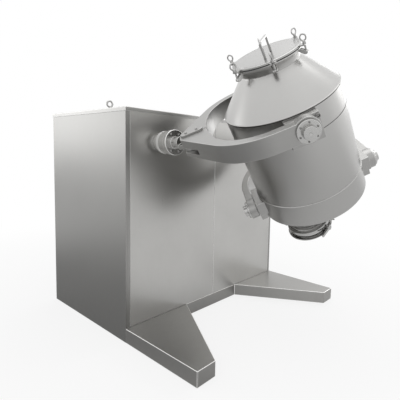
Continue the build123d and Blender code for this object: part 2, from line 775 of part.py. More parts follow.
# Discharge valve: a short body clamped to the outlet ferrule, with its disc and lever
valve_top = -outlet_end_depth - 2
outlet = Plane(
    origin=barrel.from_local_coords(outlet_point),
    x_dir=barrel.x_dir.rotate(Axis((0, 0, 0), barrel.z_dir), spindle_direction),
    z_dir=barrel.z_dir,
)
disc_level = valve_top - valve_length / 2 - ferrule_thickness
spindle_radius = 6
with BuildPart() as valve_body:
    with BuildSketch(outlet.offset(valve_top)):
        Circle(ferrule_radius)
    extrude(amount=-ferrule_thickness)
    with BuildSketch(outlet.offset(valve_top - ferrule_thickness)):
        Circle(outlet_radius)
    extrude(amount=-valve_length)
    with BuildSketch(outlet.offset(valve_top - ferrule_thickness - valve_length)):
        Circle(valve_rim_radius)
    extrude(amount=-ferrule_thickness)
    with BuildSketch(at(outlet, outlet_radius - 4, 0, disc_level, "x")):
        Circle(1.5 * spindle_radius)
    extrude(amount=valve_rim_radius - outlet_radius + 4)
    with BuildSketch(outlet.offset(valve_top)):
        Circle(outlet_radius - barrel_wall)
    extrude(amount=-valve_length - 2 * ferrule_thickness, mode=Mode.SUBTRACT)
    with BuildSketch(at(outlet, 0, 0, disc_level, "x")):
        Circle(spindle_radius + running_clearance)
    extrude(amount=valve_rim_radius + 4, mode=Mode.SUBTRACT)
valve_body.part.label = "valve_body"
export_step(valve_body.part, "parts/valve_body.step")

with BuildPart() as valve_disc:
    with BuildSketch(outlet.offset(disc_level - 4)):
        Circle(outlet_radius - barrel_wall - 0.5)
    extrude(amount=8)
    with BuildSketch(at(outlet, 0, 0, disc_level, "x")):
        Circle(spindle_radius)
    extrude(amount=valve_rim_radius + 14)
valve_disc.part.label = "valve_disc"
export_step(valve_disc.part, "parts/valve_disc.step")

with BuildPart() as valve_lever:
    with BuildSketch(at(outlet, valve_rim_radius + 2, 0, disc_level, "x")):
        Circle(16)
        with Locations((-lever_reach / 2, 0)):
            Rectangle(lever_reach, 16)
        Circle(spindle_radius, mode=Mode.SUBTRACT)
    extrude(amount=12)
valve_lever.part.label = "valve_lever"
export_step(valve_lever.part, "parts/valve_lever.step")

with BuildPart() as outlet_gasket:
    with BuildSketch(outlet.offset(valve_top)):
        Circle(ferrule_radius - 3)
        Circle(outlet_radius - barrel_wall, mode=Mode.SUBTRACT)
    extrude(amount=2)
outlet_gasket.part.label = "outlet_gasket"
export_step(outlet_gasket.part, "parts/outlet_gasket.step")

clamp_half_height = ferrule_thickness + 5
with BuildPart() as outlet_clamp:
    with BuildSketch(outlet.offset(valve_top + 1 - clamp_half_height)):
        Circle(ferrule_radius + 7)
    extrude(amount=2 * clamp_half_height)
    for turn in (0, 180):
        lug = Plane(
            origin=outlet.origin,
            x_dir=outlet.x_dir.rotate(Axis((0, 0, 0), outlet.z_dir), clamp_bolt_direction + turn),
            z_dir=outlet.z_dir,
        )
        with BuildSketch(lug.offset(valve_top + 1 - clamp_half_height)):
            with Locations((ferrule_radius + clamp_lug / 2, 0)):
                Rectangle(clamp_lug, clamp_lug + 6)
        extrude(amount=2 * clamp_half_height)
    with BuildSketch(at(lug, -ferrule_radius - clamp_lug + 8, -clamp_lug, valve_top + 1, "y")):
        Circle(5)
    extrude(amount=2.4 * clamp_lug)
    with BuildSketch(at(lug, -ferrule_radius - clamp_lug + 8, 1.05 * clamp_lug, valve_top + 1, "y")):
        SlotOverall(1.8 * clamp_lug, 9)
    extrude(amount=6)
    with BuildSketch(outlet.offset(valve_top - ferrule_thickness)):
        Circle(ferrule_radius)
    extrude(amount=2 * ferrule_thickness + 2, mode=Mode.SUBTRACT)
    with BuildSketch(outlet.offset(valve_top + 1 - clamp_half_height)):
        Circle(ferrule_radius - 6)
    extrude(amount=2 * clamp_half_height, mode=Mode.SUBTRACT)
outlet_clamp.part.label = "outlet_clamp"
export_step(outlet_clamp.part, "parts/outlet_clamp.step")

# Inner drive: gear motor low in the cabinet, chain up to the drive shaft
chain_y = front + chain_plane_back
motor_z = shaft_height - motor_drop
large_radius = chain_pitch / 2 / sin(pi / sprocket_teeth_large)
small_radius = chain_pitch / 2 / sin(pi / sprocket_teeth_small)


def sprocket(x, z, pitch_radius, teeth, bore, hub_radius):
    """Build a toothed wheel with its hub on an axis along Y."""
    plane = Plane.XZ.offset(-chain_y - tooth_width / 2)
    with BuildPart() as wheel:
        with BuildSketch(plane):
            with Locations((x, z)):
                Circle(pitch_radius + 5)
                with PolarLocations(pitch_radius + 4, teeth):
                    Circle(8, mode=Mode.SUBTRACT)
        extrude(amount=tooth_width)
        with BuildSketch(Plane.XZ.offset(-chain_y - hub_length / 2)):
            with Locations((x, z)):
                Circle(hub_radius)
        extrude(amount=hub_length)
        with BuildSketch(Plane.XZ.offset(-chain_y - hub_length / 2)):
            with Locations((x, z)):
                Circle(bore)
        extrude(amount=hub_length, mode=Mode.SUBTRACT)
    return wheel.part


keep(sprocket(drive_x, shaft_height, large_radius, sprocket_teeth_large, shaft_radius, hub_radius_large), "shaft_sprocket")
gearbox_front = chain_y + hub_length
with BuildPart() as motor_sprocket:
    add(sprocket(drive_x, motor_z, small_radius, sprocket_teeth_small, motor_shaft_radius, hub_radius_small))
    with BuildSketch(Plane.XZ.offset(-chain_y + hub_length / 2)):
        with Locations((drive_x, motor_z)):
            Circle(motor_shaft_radius)
    extrude(amount=-1.5 * hub_length - 20)
motor_sprocket.part.label = "motor_sprocket"
export_step(motor_sprocket.part, "parts/motor_sprocket.step")

# Chain: a closed loop that wraps the two wheels with a running gap
wrap_large = large_radius + chain_gap
wrap_small = small_radius + chain_gap
lean = asin((wrap_large - wrap_small) / motor_drop)
with BuildPart() as drive_chain:
    for grow, mode in ((chain_thickness, Mode.ADD), (0, Mode.SUBTRACT)):
        top_r = wrap_large + grow
        low_r = wrap_small + grow
        with BuildSketch(Plane.XZ.offset(-chain_y - tooth_width / 2)):
            with BuildLine():
                top = [(drive_x + s * top_r * cos(lean), shaft_height - top_r * sin(lean)) for s in (-1, 1)]
                low = [(drive_x + s * low_r * cos(lean), motor_z - low_r * sin(lean)) for s in (-1, 1)]
                ThreePointArc(top[0], (drive_x, shaft_height + top_r), top[1])
                Line(top[1], low[1])
                ThreePointArc(low[1], (drive_x, motor_z - low_r), low[0])
                Line(low[0], top[0])
            make_face()
        extrude(amount=tooth_width, mode=mode)
drive_chain.part.label = "drive_chain"
export_step(drive_chain.part, "parts/drive_chain.step")

# Chain guide: a bar between the two runs, hung from the rear bearing beam
guide_high = beam_top - guide_depth
guide_low = guide_high - guide_height
guide_back = rear_bearing_y - 0.75 * frame_tube
with BuildPart() as chain_guide:
    with BuildSketch(Plane.XZ.offset(-chain_y - tooth_width / 2)):
        with BuildLine():
            reach = [(shaft_height - wrap_large * sin(lean) - z) * tan(lean) for z in (guide_low, guide_high)]
            low_half, high_half = [wrap_large * cos(lean) - r for r in reach]
            Polyline(
                (drive_x - low_half, guide_low), (drive_x + low_half, guide_low),
                (drive_x + high_half, guide_high), (drive_x - high_half, guide_high), close=True,
            )
        make_face()
    extrude(amount=tooth_width)
    hanger_depth = guide_back - chain_y - tooth_width / 2
    with Locations((drive_x, guide_back - hanger_depth / 2, (guide_low + guide_high) / 2)):
        Box(60, hanger_depth, guide_high - guide_low)
    with Locations((drive_x, guide_back - 5, (guide_low + beam_top) / 2)):
        Box(60, 10, beam_top - guide_low)
chain_guide.part.label = "chain_guide"
export_step(chain_guide.part, "parts/chain_guide.step")

with BuildPart() as gearbox:
    with Locations((drive_x, gearbox_front + gearbox_length / 2, motor_z)):
        Box(gearbox_size, gearbox_length, gearbox_size)
    fillet(gearbox.edges().filter_by(Axis.Y), 18)
    with BuildSketch(Plane.XZ.offset(-gearbox_front)):
        with Locations((drive_x, motor_z)):
            Circle(motor_shaft_radius + running_clearance)
    extrude(amount=-gearbox_length / 2, mode=Mode.SUBTRACT)
gearbox.part.label = "gearbox"
export_step(gearbox.part, "parts/gearbox.step")

with BuildPart() as motor:
    with BuildSketch(Plane.XZ.offset(-gearbox_front - gearbox_length)):
        with Locations((drive_x, motor_z)):
            Circle(motor_radius)
    extrude(amount=-motor_length)
    fillet(motor.edges().filter_by(GeomType.CIRCLE).sort_by(Axis.Y)[-1], 12)
motor.part.label = "motor"
export_step(motor.part, "parts/motor.step")

with BuildPart() as motor_stand:
    stand_height = motor_z - gearbox_size / 2 - base_wall
    with Locations((drive_x, gearbox_front + gearbox_length / 2, base_wall + stand_height - 10)):
        Box(gearbox_size + 60, gearbox_length + 60, 20)
    with Locations((drive_x, gearbox_front + gearbox_length / 2, base_wall + (stand_height - 20) / 2)):
        with GridLocations(gearbox_size, gearbox_length, 2, 2):
            Box(frame_tube, frame_tube, stand_height - 20)
motor_stand.part.label = "motor_stand"
export_step(motor_stand.part, "parts/motor_stand.step")
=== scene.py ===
"""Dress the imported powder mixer: satin steel cabinet, turned barrel, forks, fittings, floor and light."""
from __future__ import annotations

import json
import logging
import math
from dataclasses import dataclass, replace
from enum import Enum

import bpy
from mathutils import Matrix, Vector


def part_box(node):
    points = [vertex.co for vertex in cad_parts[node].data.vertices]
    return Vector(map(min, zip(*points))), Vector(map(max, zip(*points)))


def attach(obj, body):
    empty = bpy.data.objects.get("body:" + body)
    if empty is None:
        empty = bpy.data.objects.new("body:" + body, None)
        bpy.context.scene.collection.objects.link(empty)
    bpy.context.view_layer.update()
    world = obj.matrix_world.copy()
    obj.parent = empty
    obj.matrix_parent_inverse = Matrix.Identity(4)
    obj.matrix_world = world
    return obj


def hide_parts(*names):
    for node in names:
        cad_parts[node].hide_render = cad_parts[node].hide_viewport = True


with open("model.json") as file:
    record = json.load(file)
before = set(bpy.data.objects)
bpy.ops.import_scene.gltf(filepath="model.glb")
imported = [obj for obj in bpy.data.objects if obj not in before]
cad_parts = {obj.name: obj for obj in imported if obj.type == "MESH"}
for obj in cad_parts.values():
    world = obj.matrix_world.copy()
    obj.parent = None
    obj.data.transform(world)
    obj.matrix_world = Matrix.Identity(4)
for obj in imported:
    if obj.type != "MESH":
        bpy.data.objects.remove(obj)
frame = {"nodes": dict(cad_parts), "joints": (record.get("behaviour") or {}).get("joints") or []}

LOG = logging.getLogger("powder_mixer")
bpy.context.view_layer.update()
MM = 0.001
FRONT = Vector((0, -1, 0))
RIGHT = Vector((1, 0, 0))
CLAMP_ANGLES = tuple(math.radians(-5 + 60 * number) for number in range(6))
OUTLET_OFFSET = 0.146
OUTLET_DIRECTION = math.radians(315)
OUTLET_X = OUTLET_OFFSET * math.cos(OUTLET_DIRECTION)
OUTLET_Y = OUTLET_OFFSET * math.sin(OUTLET_DIRECTION)

Profile = tuple[tuple[float, float], ...]
Tone = tuple[float, float, float]


class Grain(Enum):
    """Which way the polishing lines of a steel surface run. The last three name a link."""

    UPRIGHT = "upright"
    LEVEL = "level"
    EVEN = "even"
    ROUND_BARREL = "barrel"
    ALONG_UPPER_FORK = "upper_fork"
    ALONG_LOWER_FORK = "lower_fork"


@dataclass(frozen=True)
class LinkFrame:
    """A right-handed frame of one link of the mixer, in metres."""

    origin: Vector
    x: Vector
    y: Vector
    z: Vector

    def matrix(self) -> Matrix:
        """Return the matrix that puts a local point in the shared frame."""
        turn = Matrix((self.x, self.y, self.z)).transposed()
        return Matrix.Translation(self.origin) @ turn.to_4x4()

    def local_euler(self) -> tuple[float, float, float]:
        """Return the turn that brings shared coordinates into this frame."""
        return tuple(Matrix((self.x, self.y, self.z)).to_euler())


def joint_place(name: str) -> tuple[Vector, Vector]:
    """Find a joint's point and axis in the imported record.

    Args:
        name: The joint's name.

    Returns:
        The point in metres and the unit axis.
    """
    joint = next(entry for entry in frame["joints"] if entry["name"] == name)
    return Vector(joint["pos_m"]), Vector(joint["axis"]).normalized()


def link_frames() -> dict[str, LinkFrame]:
    """Work out the frames of the two forks and of the barrel from their joints.

    Returns:
        The frames by name.
    """
    pin, normal = joint_place("upper_fork_swing")
    upper_eye, upper_axis = joint_place("barrel_rock")
    lower_eye, lower_axis = joint_place("lower_fork_swing")
    driven_pin, _ = joint_place("driven_spin")
    upper_reach = (upper_eye - pin).normalized()
    lower_reach = (lower_eye - driven_pin).normalized()
    up = (upper_eye - lower_eye).normalized()
    lower_normal = lower_reach.cross(lower_axis).normalized()
    return {
        "upper_fork": LinkFrame(pin, upper_reach, -upper_axis, -normal),
        "lower_fork": LinkFrame(driven_pin, lower_reach, -lower_axis, -lower_normal),
        "barrel": LinkFrame(upper_eye, upper_axis, up.cross(upper_axis).normalized(), up),
    }


LINKS = link_frames()
BARREL = LINKS["barrel"].matrix()


def facing(centre: Vector, outward: Vector, across: Vector) -> Matrix:
    """Return a place whose local z looks outward and whose local x runs across.

    Args:
        centre: The place's origin.
        outward: The direction of local z.
        across: The direction of local x.

    Returns:
        The place's matrix.
    """
    turn = Matrix((across, outward.cross(across), outward)).transposed()
    return Matrix.Translation(centre) @ turn.to_4x4()


def front_facing(x: float, y: float, z: float) -> Matrix:
    """Return a place at a point that looks to the front, with its local x to the right."""
    return facing(Vector((x, y, z)), FRONT, RIGHT)


def turned_by(angle: float) -> Matrix:
    """Return a turn about z."""
    return Matrix.Rotation(angle, 4, "Z")


class Socket:
    """A node's output that can be used in an expression."""

    def __init__(self, recipe: Recipe, output: bpy.types.NodeSocket) -> None:
        """Keep the recipe and the output."""
        self.recipe = recipe
        self.output = output

    def _math(self, operation: str, first: Socket | float, second: Socket | float) -> Socket:
        """Add one Math node and return its output."""
        return self.recipe.node("ShaderNodeMath", {"operation": operation}, {0: first, 1: second})

    def __add__(self, other: Socket | float) -> Socket:
        """Return self + other."""
        return self._math("ADD", self, other)

    __radd__ = __add__

    def __mul__(self, other: Socket | float) -> Socket:
        """Return self * other."""
        return self._math("MULTIPLY", self, other)

    __rmul__ = __mul__

    def __sub__(self, other: Socket | float) -> Socket:
        """Return self - other."""
        return self._math("SUBTRACT", self, other)

    def __rsub__(self, other: Socket | float) -> Socket:
        """Return other - self."""
        return self._math("SUBTRACT", other, self)


class Recipe:
    """One procedural material or world and its nodes."""

    def __init__(self, owner: bpy.types.Material | bpy.types.World) -> None:
        """Empty the owner's node tree.

        Args:
            owner: The material or world to fill.
        """
        owner.use_nodes = True
        self.owner = owner
        self.tree = owner.node_tree
        self.tree.nodes.clear()

    def node(
        self, kind: str, settings: dict | None = None, values: dict | None = None, output: int | str = 0
    ) -> Socket:
        """Add a node, set it and feed its sockets.

        Args:
            kind: The node's type.
            settings: Attributes that are set first.
            values: Socket values or links, by socket name or number.
            output: The output to return, by name or number.

        Returns:
            The chosen output.
        """
        made = self.tree.nodes.new(kind)
        for key, value in (settings or {}).items():
            setattr(made, key, value)
        for key, value in (values or {}).items():
            if isinstance(value, Socket):
                self.tree.links.new(value.output, made.inputs[key])
            else:
                made.inputs[key].default_value = value
        return Socket(self, made.outputs[output] if made.outputs else None)

    def blend(self, share: Socket | float, first: Tone | Socket, second: Tone | Socket) -> Socket:
        """Mix two colours.

        Args:
            share: How much of the second colour shows.
            first: The first colour.
            second: The second colour.

        Returns:
            The mixed colour.
        """
        pair = [value if isinstance(value, Socket) else (*value, 1.0) for value in (first, second)]
        values = {"Factor": share, 6: pair[0], 7: pair[1]}
        return self.node("ShaderNodeMix", {"data_type": "RGBA"}, values, output=2)

    def place(self) -> Socket:
        """Return the Object coordinates."""
        return self.node("ShaderNodeTexCoord", output="Object")

    def part(self, place: Socket, axis: str) -> Socket:
        """Return one coordinate of a place."""
        return self.node("ShaderNodeSeparateXYZ", None, {"Vector": place}, axis)

    def ray(self, kind: str) -> Socket:
        """Return 1 for one kind of ray and 0 for the others."""
        return self.node("ShaderNodeLightPath", output=f"Is {kind} Ray")

    def vector(self, operation: str, *values: Socket | Tone, output: int | str = 0) -> Socket:
        """Add a Vector Math node.

        Args:
            operation: What the node does.
            values: Its inputs in order.
            output: The output to return.

        Returns:
            The chosen output.
        """
        return self.node("ShaderNodeVectorMath", {"operation": operation}, dict(enumerate(values)), output)

    def noise(self, place: Socket, scale: float, detail: float = 3.0) -> Socket:
        """Add a noise pattern from 0 to 1.

        Args:
            place: The coordinates.
            scale: Repeats per metre.
            detail: The number of finer layers.

        Returns:
            The pattern.
        """
        return self.node("ShaderNodeTexNoise", None, {"Vector": place, "Scale": scale, "Detail": detail})

    def ramp(self, value: Socket, start: float, end: float, smooth: bool = False) -> Socket:
        """Map a value to 0 at the start and 1 at the end.

        Args:
            value: The value.
            start: Where the result is 0.
            end: Where the result is 1.
            smooth: The ends are rounded.

        Returns:
            The result.
        """
        settings = {"interpolation_type": "SMOOTHSTEP"} if smooth else None
        values = {"Value": value, "From Min": start, "From Max": end}
        return self.node("ShaderNodeMapRange", settings, values)

    def close(self, shader: Socket, kind: str = "ShaderNodeOutputMaterial") -> None:
        """Join the shader to the tree's output."""
        self.node(kind, None, {"Surface": shader})


def scaled(tone: Tone, factor: float) -> Tone:
    """Return a colour made darker or lighter, up to 1."""
    return tuple(min(1.0, level * factor) for level in tone)


def grain_coordinates(recipe: Recipe, grain: Grain, along: float, across: float) -> Socket:
    """Stretch Object coordinates along the polishing lines.

    Args:
        recipe: The material's recipe.
        grain: Which way the lines run.
        along: Pattern repeats per metre along the lines.
        across: Pattern repeats per metre across them.

    Returns:
        The stretched coordinates.
    """
    place = recipe.place()
    link = LINKS.get(grain.value)
    if grain is Grain.ROUND_BARREL:
        place = recipe.vector("SUBTRACT", place, tuple(link.origin))
    if link:
        place = recipe.node("ShaderNodeMapping", None, {"Vector": place, "Rotation": link.local_euler()})
    if grain is Grain.ROUND_BARREL:
        flat = recipe.vector("MULTIPLY", place, (1.0, 1.0, 0.0))
        radius = recipe.vector("LENGTH", flat, output="Value")
        parts = {
            "X": radius * across,
            "Y": recipe.part(place, "X") * along,
            "Z": recipe.part(place, "Z") * across,
        }
        return recipe.node("ShaderNodeCombineXYZ", None, parts)
    scales = {Grain.UPRIGHT: (across, across, along), Grain.EVEN: (across, across, across)}
    scale = scales.get(grain, (along, along, across))
    return recipe.node("ShaderNodeMapping", None, {"Vector": place, "Scale": scale})


@dataclass(frozen=True)
class SteelFinish:
    """A steel surface with polishing lines, a cloudy tone, handling marks and darker blotches towards the
    floor.

    The tone is darkened between two heights as painted shade, darker towards the bottom, and line sizes are
    repeats per metre.
    """

    name: str
    tone: Tone
    roughness: float
    grain: Grain = Grain.EVEN
    along: float = 2.0
    across: float = 500.0
    line_depth: float = 0.00003
    line_strength: float = 0.2
    cloud: float = 0.05
    cloud_scale: float = 2.6
    cloud_detail: float = 5.0
    mark_scale: float = 34.0
    mark_detail: float = 4.0
    cloud_weight: float = 0.7
    mark_weight: float = 0.1
    line_weight: float = 0.2
    spread_low: float = 0.35
    spread_high: float = 0.65
    rough_swing: float = 0.08
    painted_shade_depth: float = 0.0
    painted_shade_top: float = 1.3
    painted_shade_foot: float = 0.1
    low_darkening: float = 0.0
    low_darkening_top: float = 0.35
    low_darkening_tone: float = 0.6

    def make(self) -> bpy.types.Material:
        """Build the material.

        Returns:
            The material.
        """
        recipe = Recipe(bpy.data.materials.new(self.name))
        place = recipe.place()
        lines = recipe.noise(grain_coordinates(recipe, self.grain, self.along, self.across), 1.0)
        clouds = recipe.noise(place, self.cloud_scale, self.cloud_detail)
        marks = recipe.noise(place, self.mark_scale, self.mark_detail)
        share = clouds * self.cloud_weight + marks * self.mark_weight + lines * self.line_weight
        spread = recipe.ramp(share, self.spread_low, self.spread_high)
        colour = recipe.blend(spread, scaled(self.tone, 1 - self.cloud), scaled(self.tone, 1 + self.cloud))
        height = recipe.part(place, "Z")
        # Painted shade: the tone darkens towards the bottom between the two heights.
        if self.painted_shade_depth > 0:
            low = recipe.ramp(height, self.painted_shade_top, self.painted_shade_foot)
            colour = recipe.blend(low, colour, scaled(self.tone, 1 - self.painted_shade_depth))
        # Darker blotches towards the floor, masked by the handling-mark noise.
        if self.low_darkening > 0:
            foot = recipe.ramp(height, self.low_darkening_top, 0.0)
            colour = recipe.blend(foot * marks * self.low_darkening, colour, scaled(self.tone, self.low_darkening_tone))
        rough = self.roughness + (lines - 0.5) * self.rough_swing + (clouds - 0.5) * self.rough_swing
        bump_values = {"Height": lines, "Strength": self.line_strength, "Distance": self.line_depth}
        bump = recipe.node("ShaderNodeBump", None, bump_values)
        values = {"Base Color": colour, "Metallic": 1.0, "Roughness": rough, "Normal": bump}
        recipe.close(recipe.node("ShaderNodeBsdfPrincipled", None, values))
        return recipe.owner


@dataclass(frozen=True)
class CoatFinish:
    """A painted, cast, plastic or rubber surface with a fine skin and a slightly cloudy tone."""

    name: str
    tone: Tone
    roughness: float
    skin_scale: float = 260.0
    skin_depth: float = 0.0002
    skin_strength: float = 0.5
    skin_roughness: float = 0.2
    cloud_scale: float = 9.0
    detail: float = 4.0
    darkest: float = 0.88
    lightest: float = 1.08
    metallic: float = 0.0
    coat: float = 0.0

    def make(self) -> bpy.types.Material:
        """Build the material.

        Returns:
            The material.
        """
        recipe = Recipe(bpy.data.materials.new(self.name))
        place = recipe.place()
        skin = recipe.noise(place, self.skin_scale, self.detail)
        clouds = recipe.noise(place, self.cloud_scale, self.detail)
        dark, light = scaled(self.tone, self.darkest), scaled(self.tone, self.lightest)
        bump_values = {"Height": skin, "Strength": self.skin_strength, "Distance": self.skin_depth}
        values = {
            "Base Color": recipe.blend(clouds, dark, light),
            "Metallic": self.metallic,
            "Roughness": self.roughness + (skin - 0.5) * self.skin_roughness,
            "Coat Weight": self.coat,
            "Normal": recipe.node("ShaderNodeBump", None, bump_values),
        }
        recipe.close(recipe.node("ShaderNodeBsdfPrincipled", None, values))
        return recipe.owner


FINISHES: dict[str, SteelFinish | CoatFinish] = {
    # The side sheets get painted shade, darker towards the bottom.
    "side_sheet": SteelFinish(
        "satin_side_sheet", (0.38, 0.377, 0.367), 0.36, Grain.UPRIGHT, painted_shade_depth=0.12, low_darkening=0.4
    ),
    # The front panels carry a painted lighter tone than the side sheets of the same steel, standing in for
    # light on them.
    "front_sheet_painted_lighter": SteelFinish("satin_front_sheet_painted_lighter", (0.56, 0.555, 0.54), 0.3, Grain.UPRIGHT, low_darkening=0.2),
    "plinth_sheet": SteelFinish("satin_plinth_sheet", (0.38, 0.375, 0.364), 0.36, Grain.LEVEL, low_darkening=0.3),
    "cover_sheet": SteelFinish("satin_cover_sheet", (0.42, 0.417, 0.407), 0.34, Grain.LEVEL),
    # The barrel wall gets painted shade, darker from 1.5 m down to 0.95 m.
    "barrel_wall": SteelFinish(
        "turned_barrel_steel", (0.55, 0.546, 0.535), 0.3, Grain.ROUND_BARREL,
        cloud=0.04, painted_shade_depth=0.2, painted_shade_top=1.5, painted_shade_foot=0.95,
    ),
    "lid_plate": SteelFinish(
        "turned_lid_steel", (0.46, 0.457, 0.449), 0.24, Grain.ROUND_BARREL, cloud=0.03
    ),
    "upper_fork_plate": SteelFinish("satin_upper_fork", (0.42, 0.417, 0.408), 0.36, Grain.ALONG_UPPER_FORK),
    "lower_fork_plate": SteelFinish("satin_lower_fork", (0.42, 0.417, 0.408), 0.36, Grain.ALONG_LOWER_FORK),
    "machined": SteelFinish("machined_steel", (0.56, 0.557, 0.547), 0.26, across=300.0),
    "polished": SteelFinish("polished_steel", (0.49, 0.487, 0.48), 0.16, across=200.0, rough_swing=0.04),
    # Painted shadow: a near-black steel for the thin rings that stand in for the shadow lines at the
    # barrel's seams.
    "seam_shadow": SteelFinish("painted_seam_shadow", (0.08, 0.078, 0.075), 0.5, across=200.0),
    # Painted highlight: a near-white steel on eased edges and the weld bead, standing in for light caught
    # along edges.
    "painted_highlight_edge": SteelFinish("painted_highlight_edge_steel", (0.95, 0.945, 0.93), 0.35, across=200.0),
    # Painted highlight: a lighter copy of the fork steel on the eased edges of the forks and pads, standing
    # in for light on the edges.
    "painted_sheen_edge": SteelFinish("painted_sheen_eased_edge", (0.52, 0.517, 0.507), 0.34, across=200.0),
    "dark_fastener": SteelFinish("dark_fastener_steel", (0.3, 0.297, 0.29), 0.28, across=200.0),
    "white_seal": CoatFinish("white_seal_plastic", (0.66, 0.655, 0.64), 0.5),
    "black_rubber": CoatFinish("black_gasket_rubber", (0.03, 0.03, 0.032), 0.7),
    "cast": CoatFinish("cast_bearing_iron", (0.2, 0.2, 0.2), 0.55, metallic=0.9, skin_depth=0.0006),
    "paint": CoatFinish("grey_blue_paint", (0.16, 0.2, 0.25), 0.4, coat=0.3),
    "chain": SteelFinish("oiled_chain_steel", (0.16, 0.155, 0.15), 0.35),
    "bronze": SteelFinish("bronze_bush", (0.5, 0.33, 0.16), 0.3),
}

NODE_FINISH: dict[str, tuple[str, ...]] = {
    "machined": (
        "upper_fork_pin", "lower_fork_pin", "upper_trunnions", "lower_trunnions",
        "drive_bearing_housing", "driven_bearing_housing",
    ),
    "polished": ("valve_disc",),
    "black_rubber": ("lid_gasket", "outlet_gasket"),
    "cast": ("rear_bearing_blocks",),
    "paint": ("inner_frame", "gearbox", "motor", "motor_stand", "chain_guide"),
    "chain": ("drive_chain", "shaft_sprocket", "motor_sprocket"),
    "bronze": ("upper_trunnion_bushes", "lower_trunnion_bushes"),
}


@dataclass(frozen=True)
class Ring:
    """One ring of a turned shape: its radius, its height and its centre, in metres."""

    radius: float
    height: float
    x: float = 0.0
    y: float = 0.0


def rings(
    profile: Profile, grow: float = 0.0, lift: float = 0.0, x: float = 0.0, y: float = 0.0
) -> list[Ring]:
    """Make rings from a profile of radii and heights in millimetres.

    Args:
        profile: The radii and heights.
        grow: What is added to each radius, in metres.
        lift: What is added to each height, in metres.
        x: The rings' centre.
        y: The rings' centre.

    Returns:
        The rings.
    """
    return [Ring(radius * MM + grow, height * MM + lift, x, y) for radius, height in profile]


@dataclass(frozen=True)
class Role:
    """What a finished piece is: its finish, record slot, body and the solids that it stands for."""

    finish: str
    slot: str
    body: str
    nodes: tuple[str, ...] = ()
    edge: str | None = None


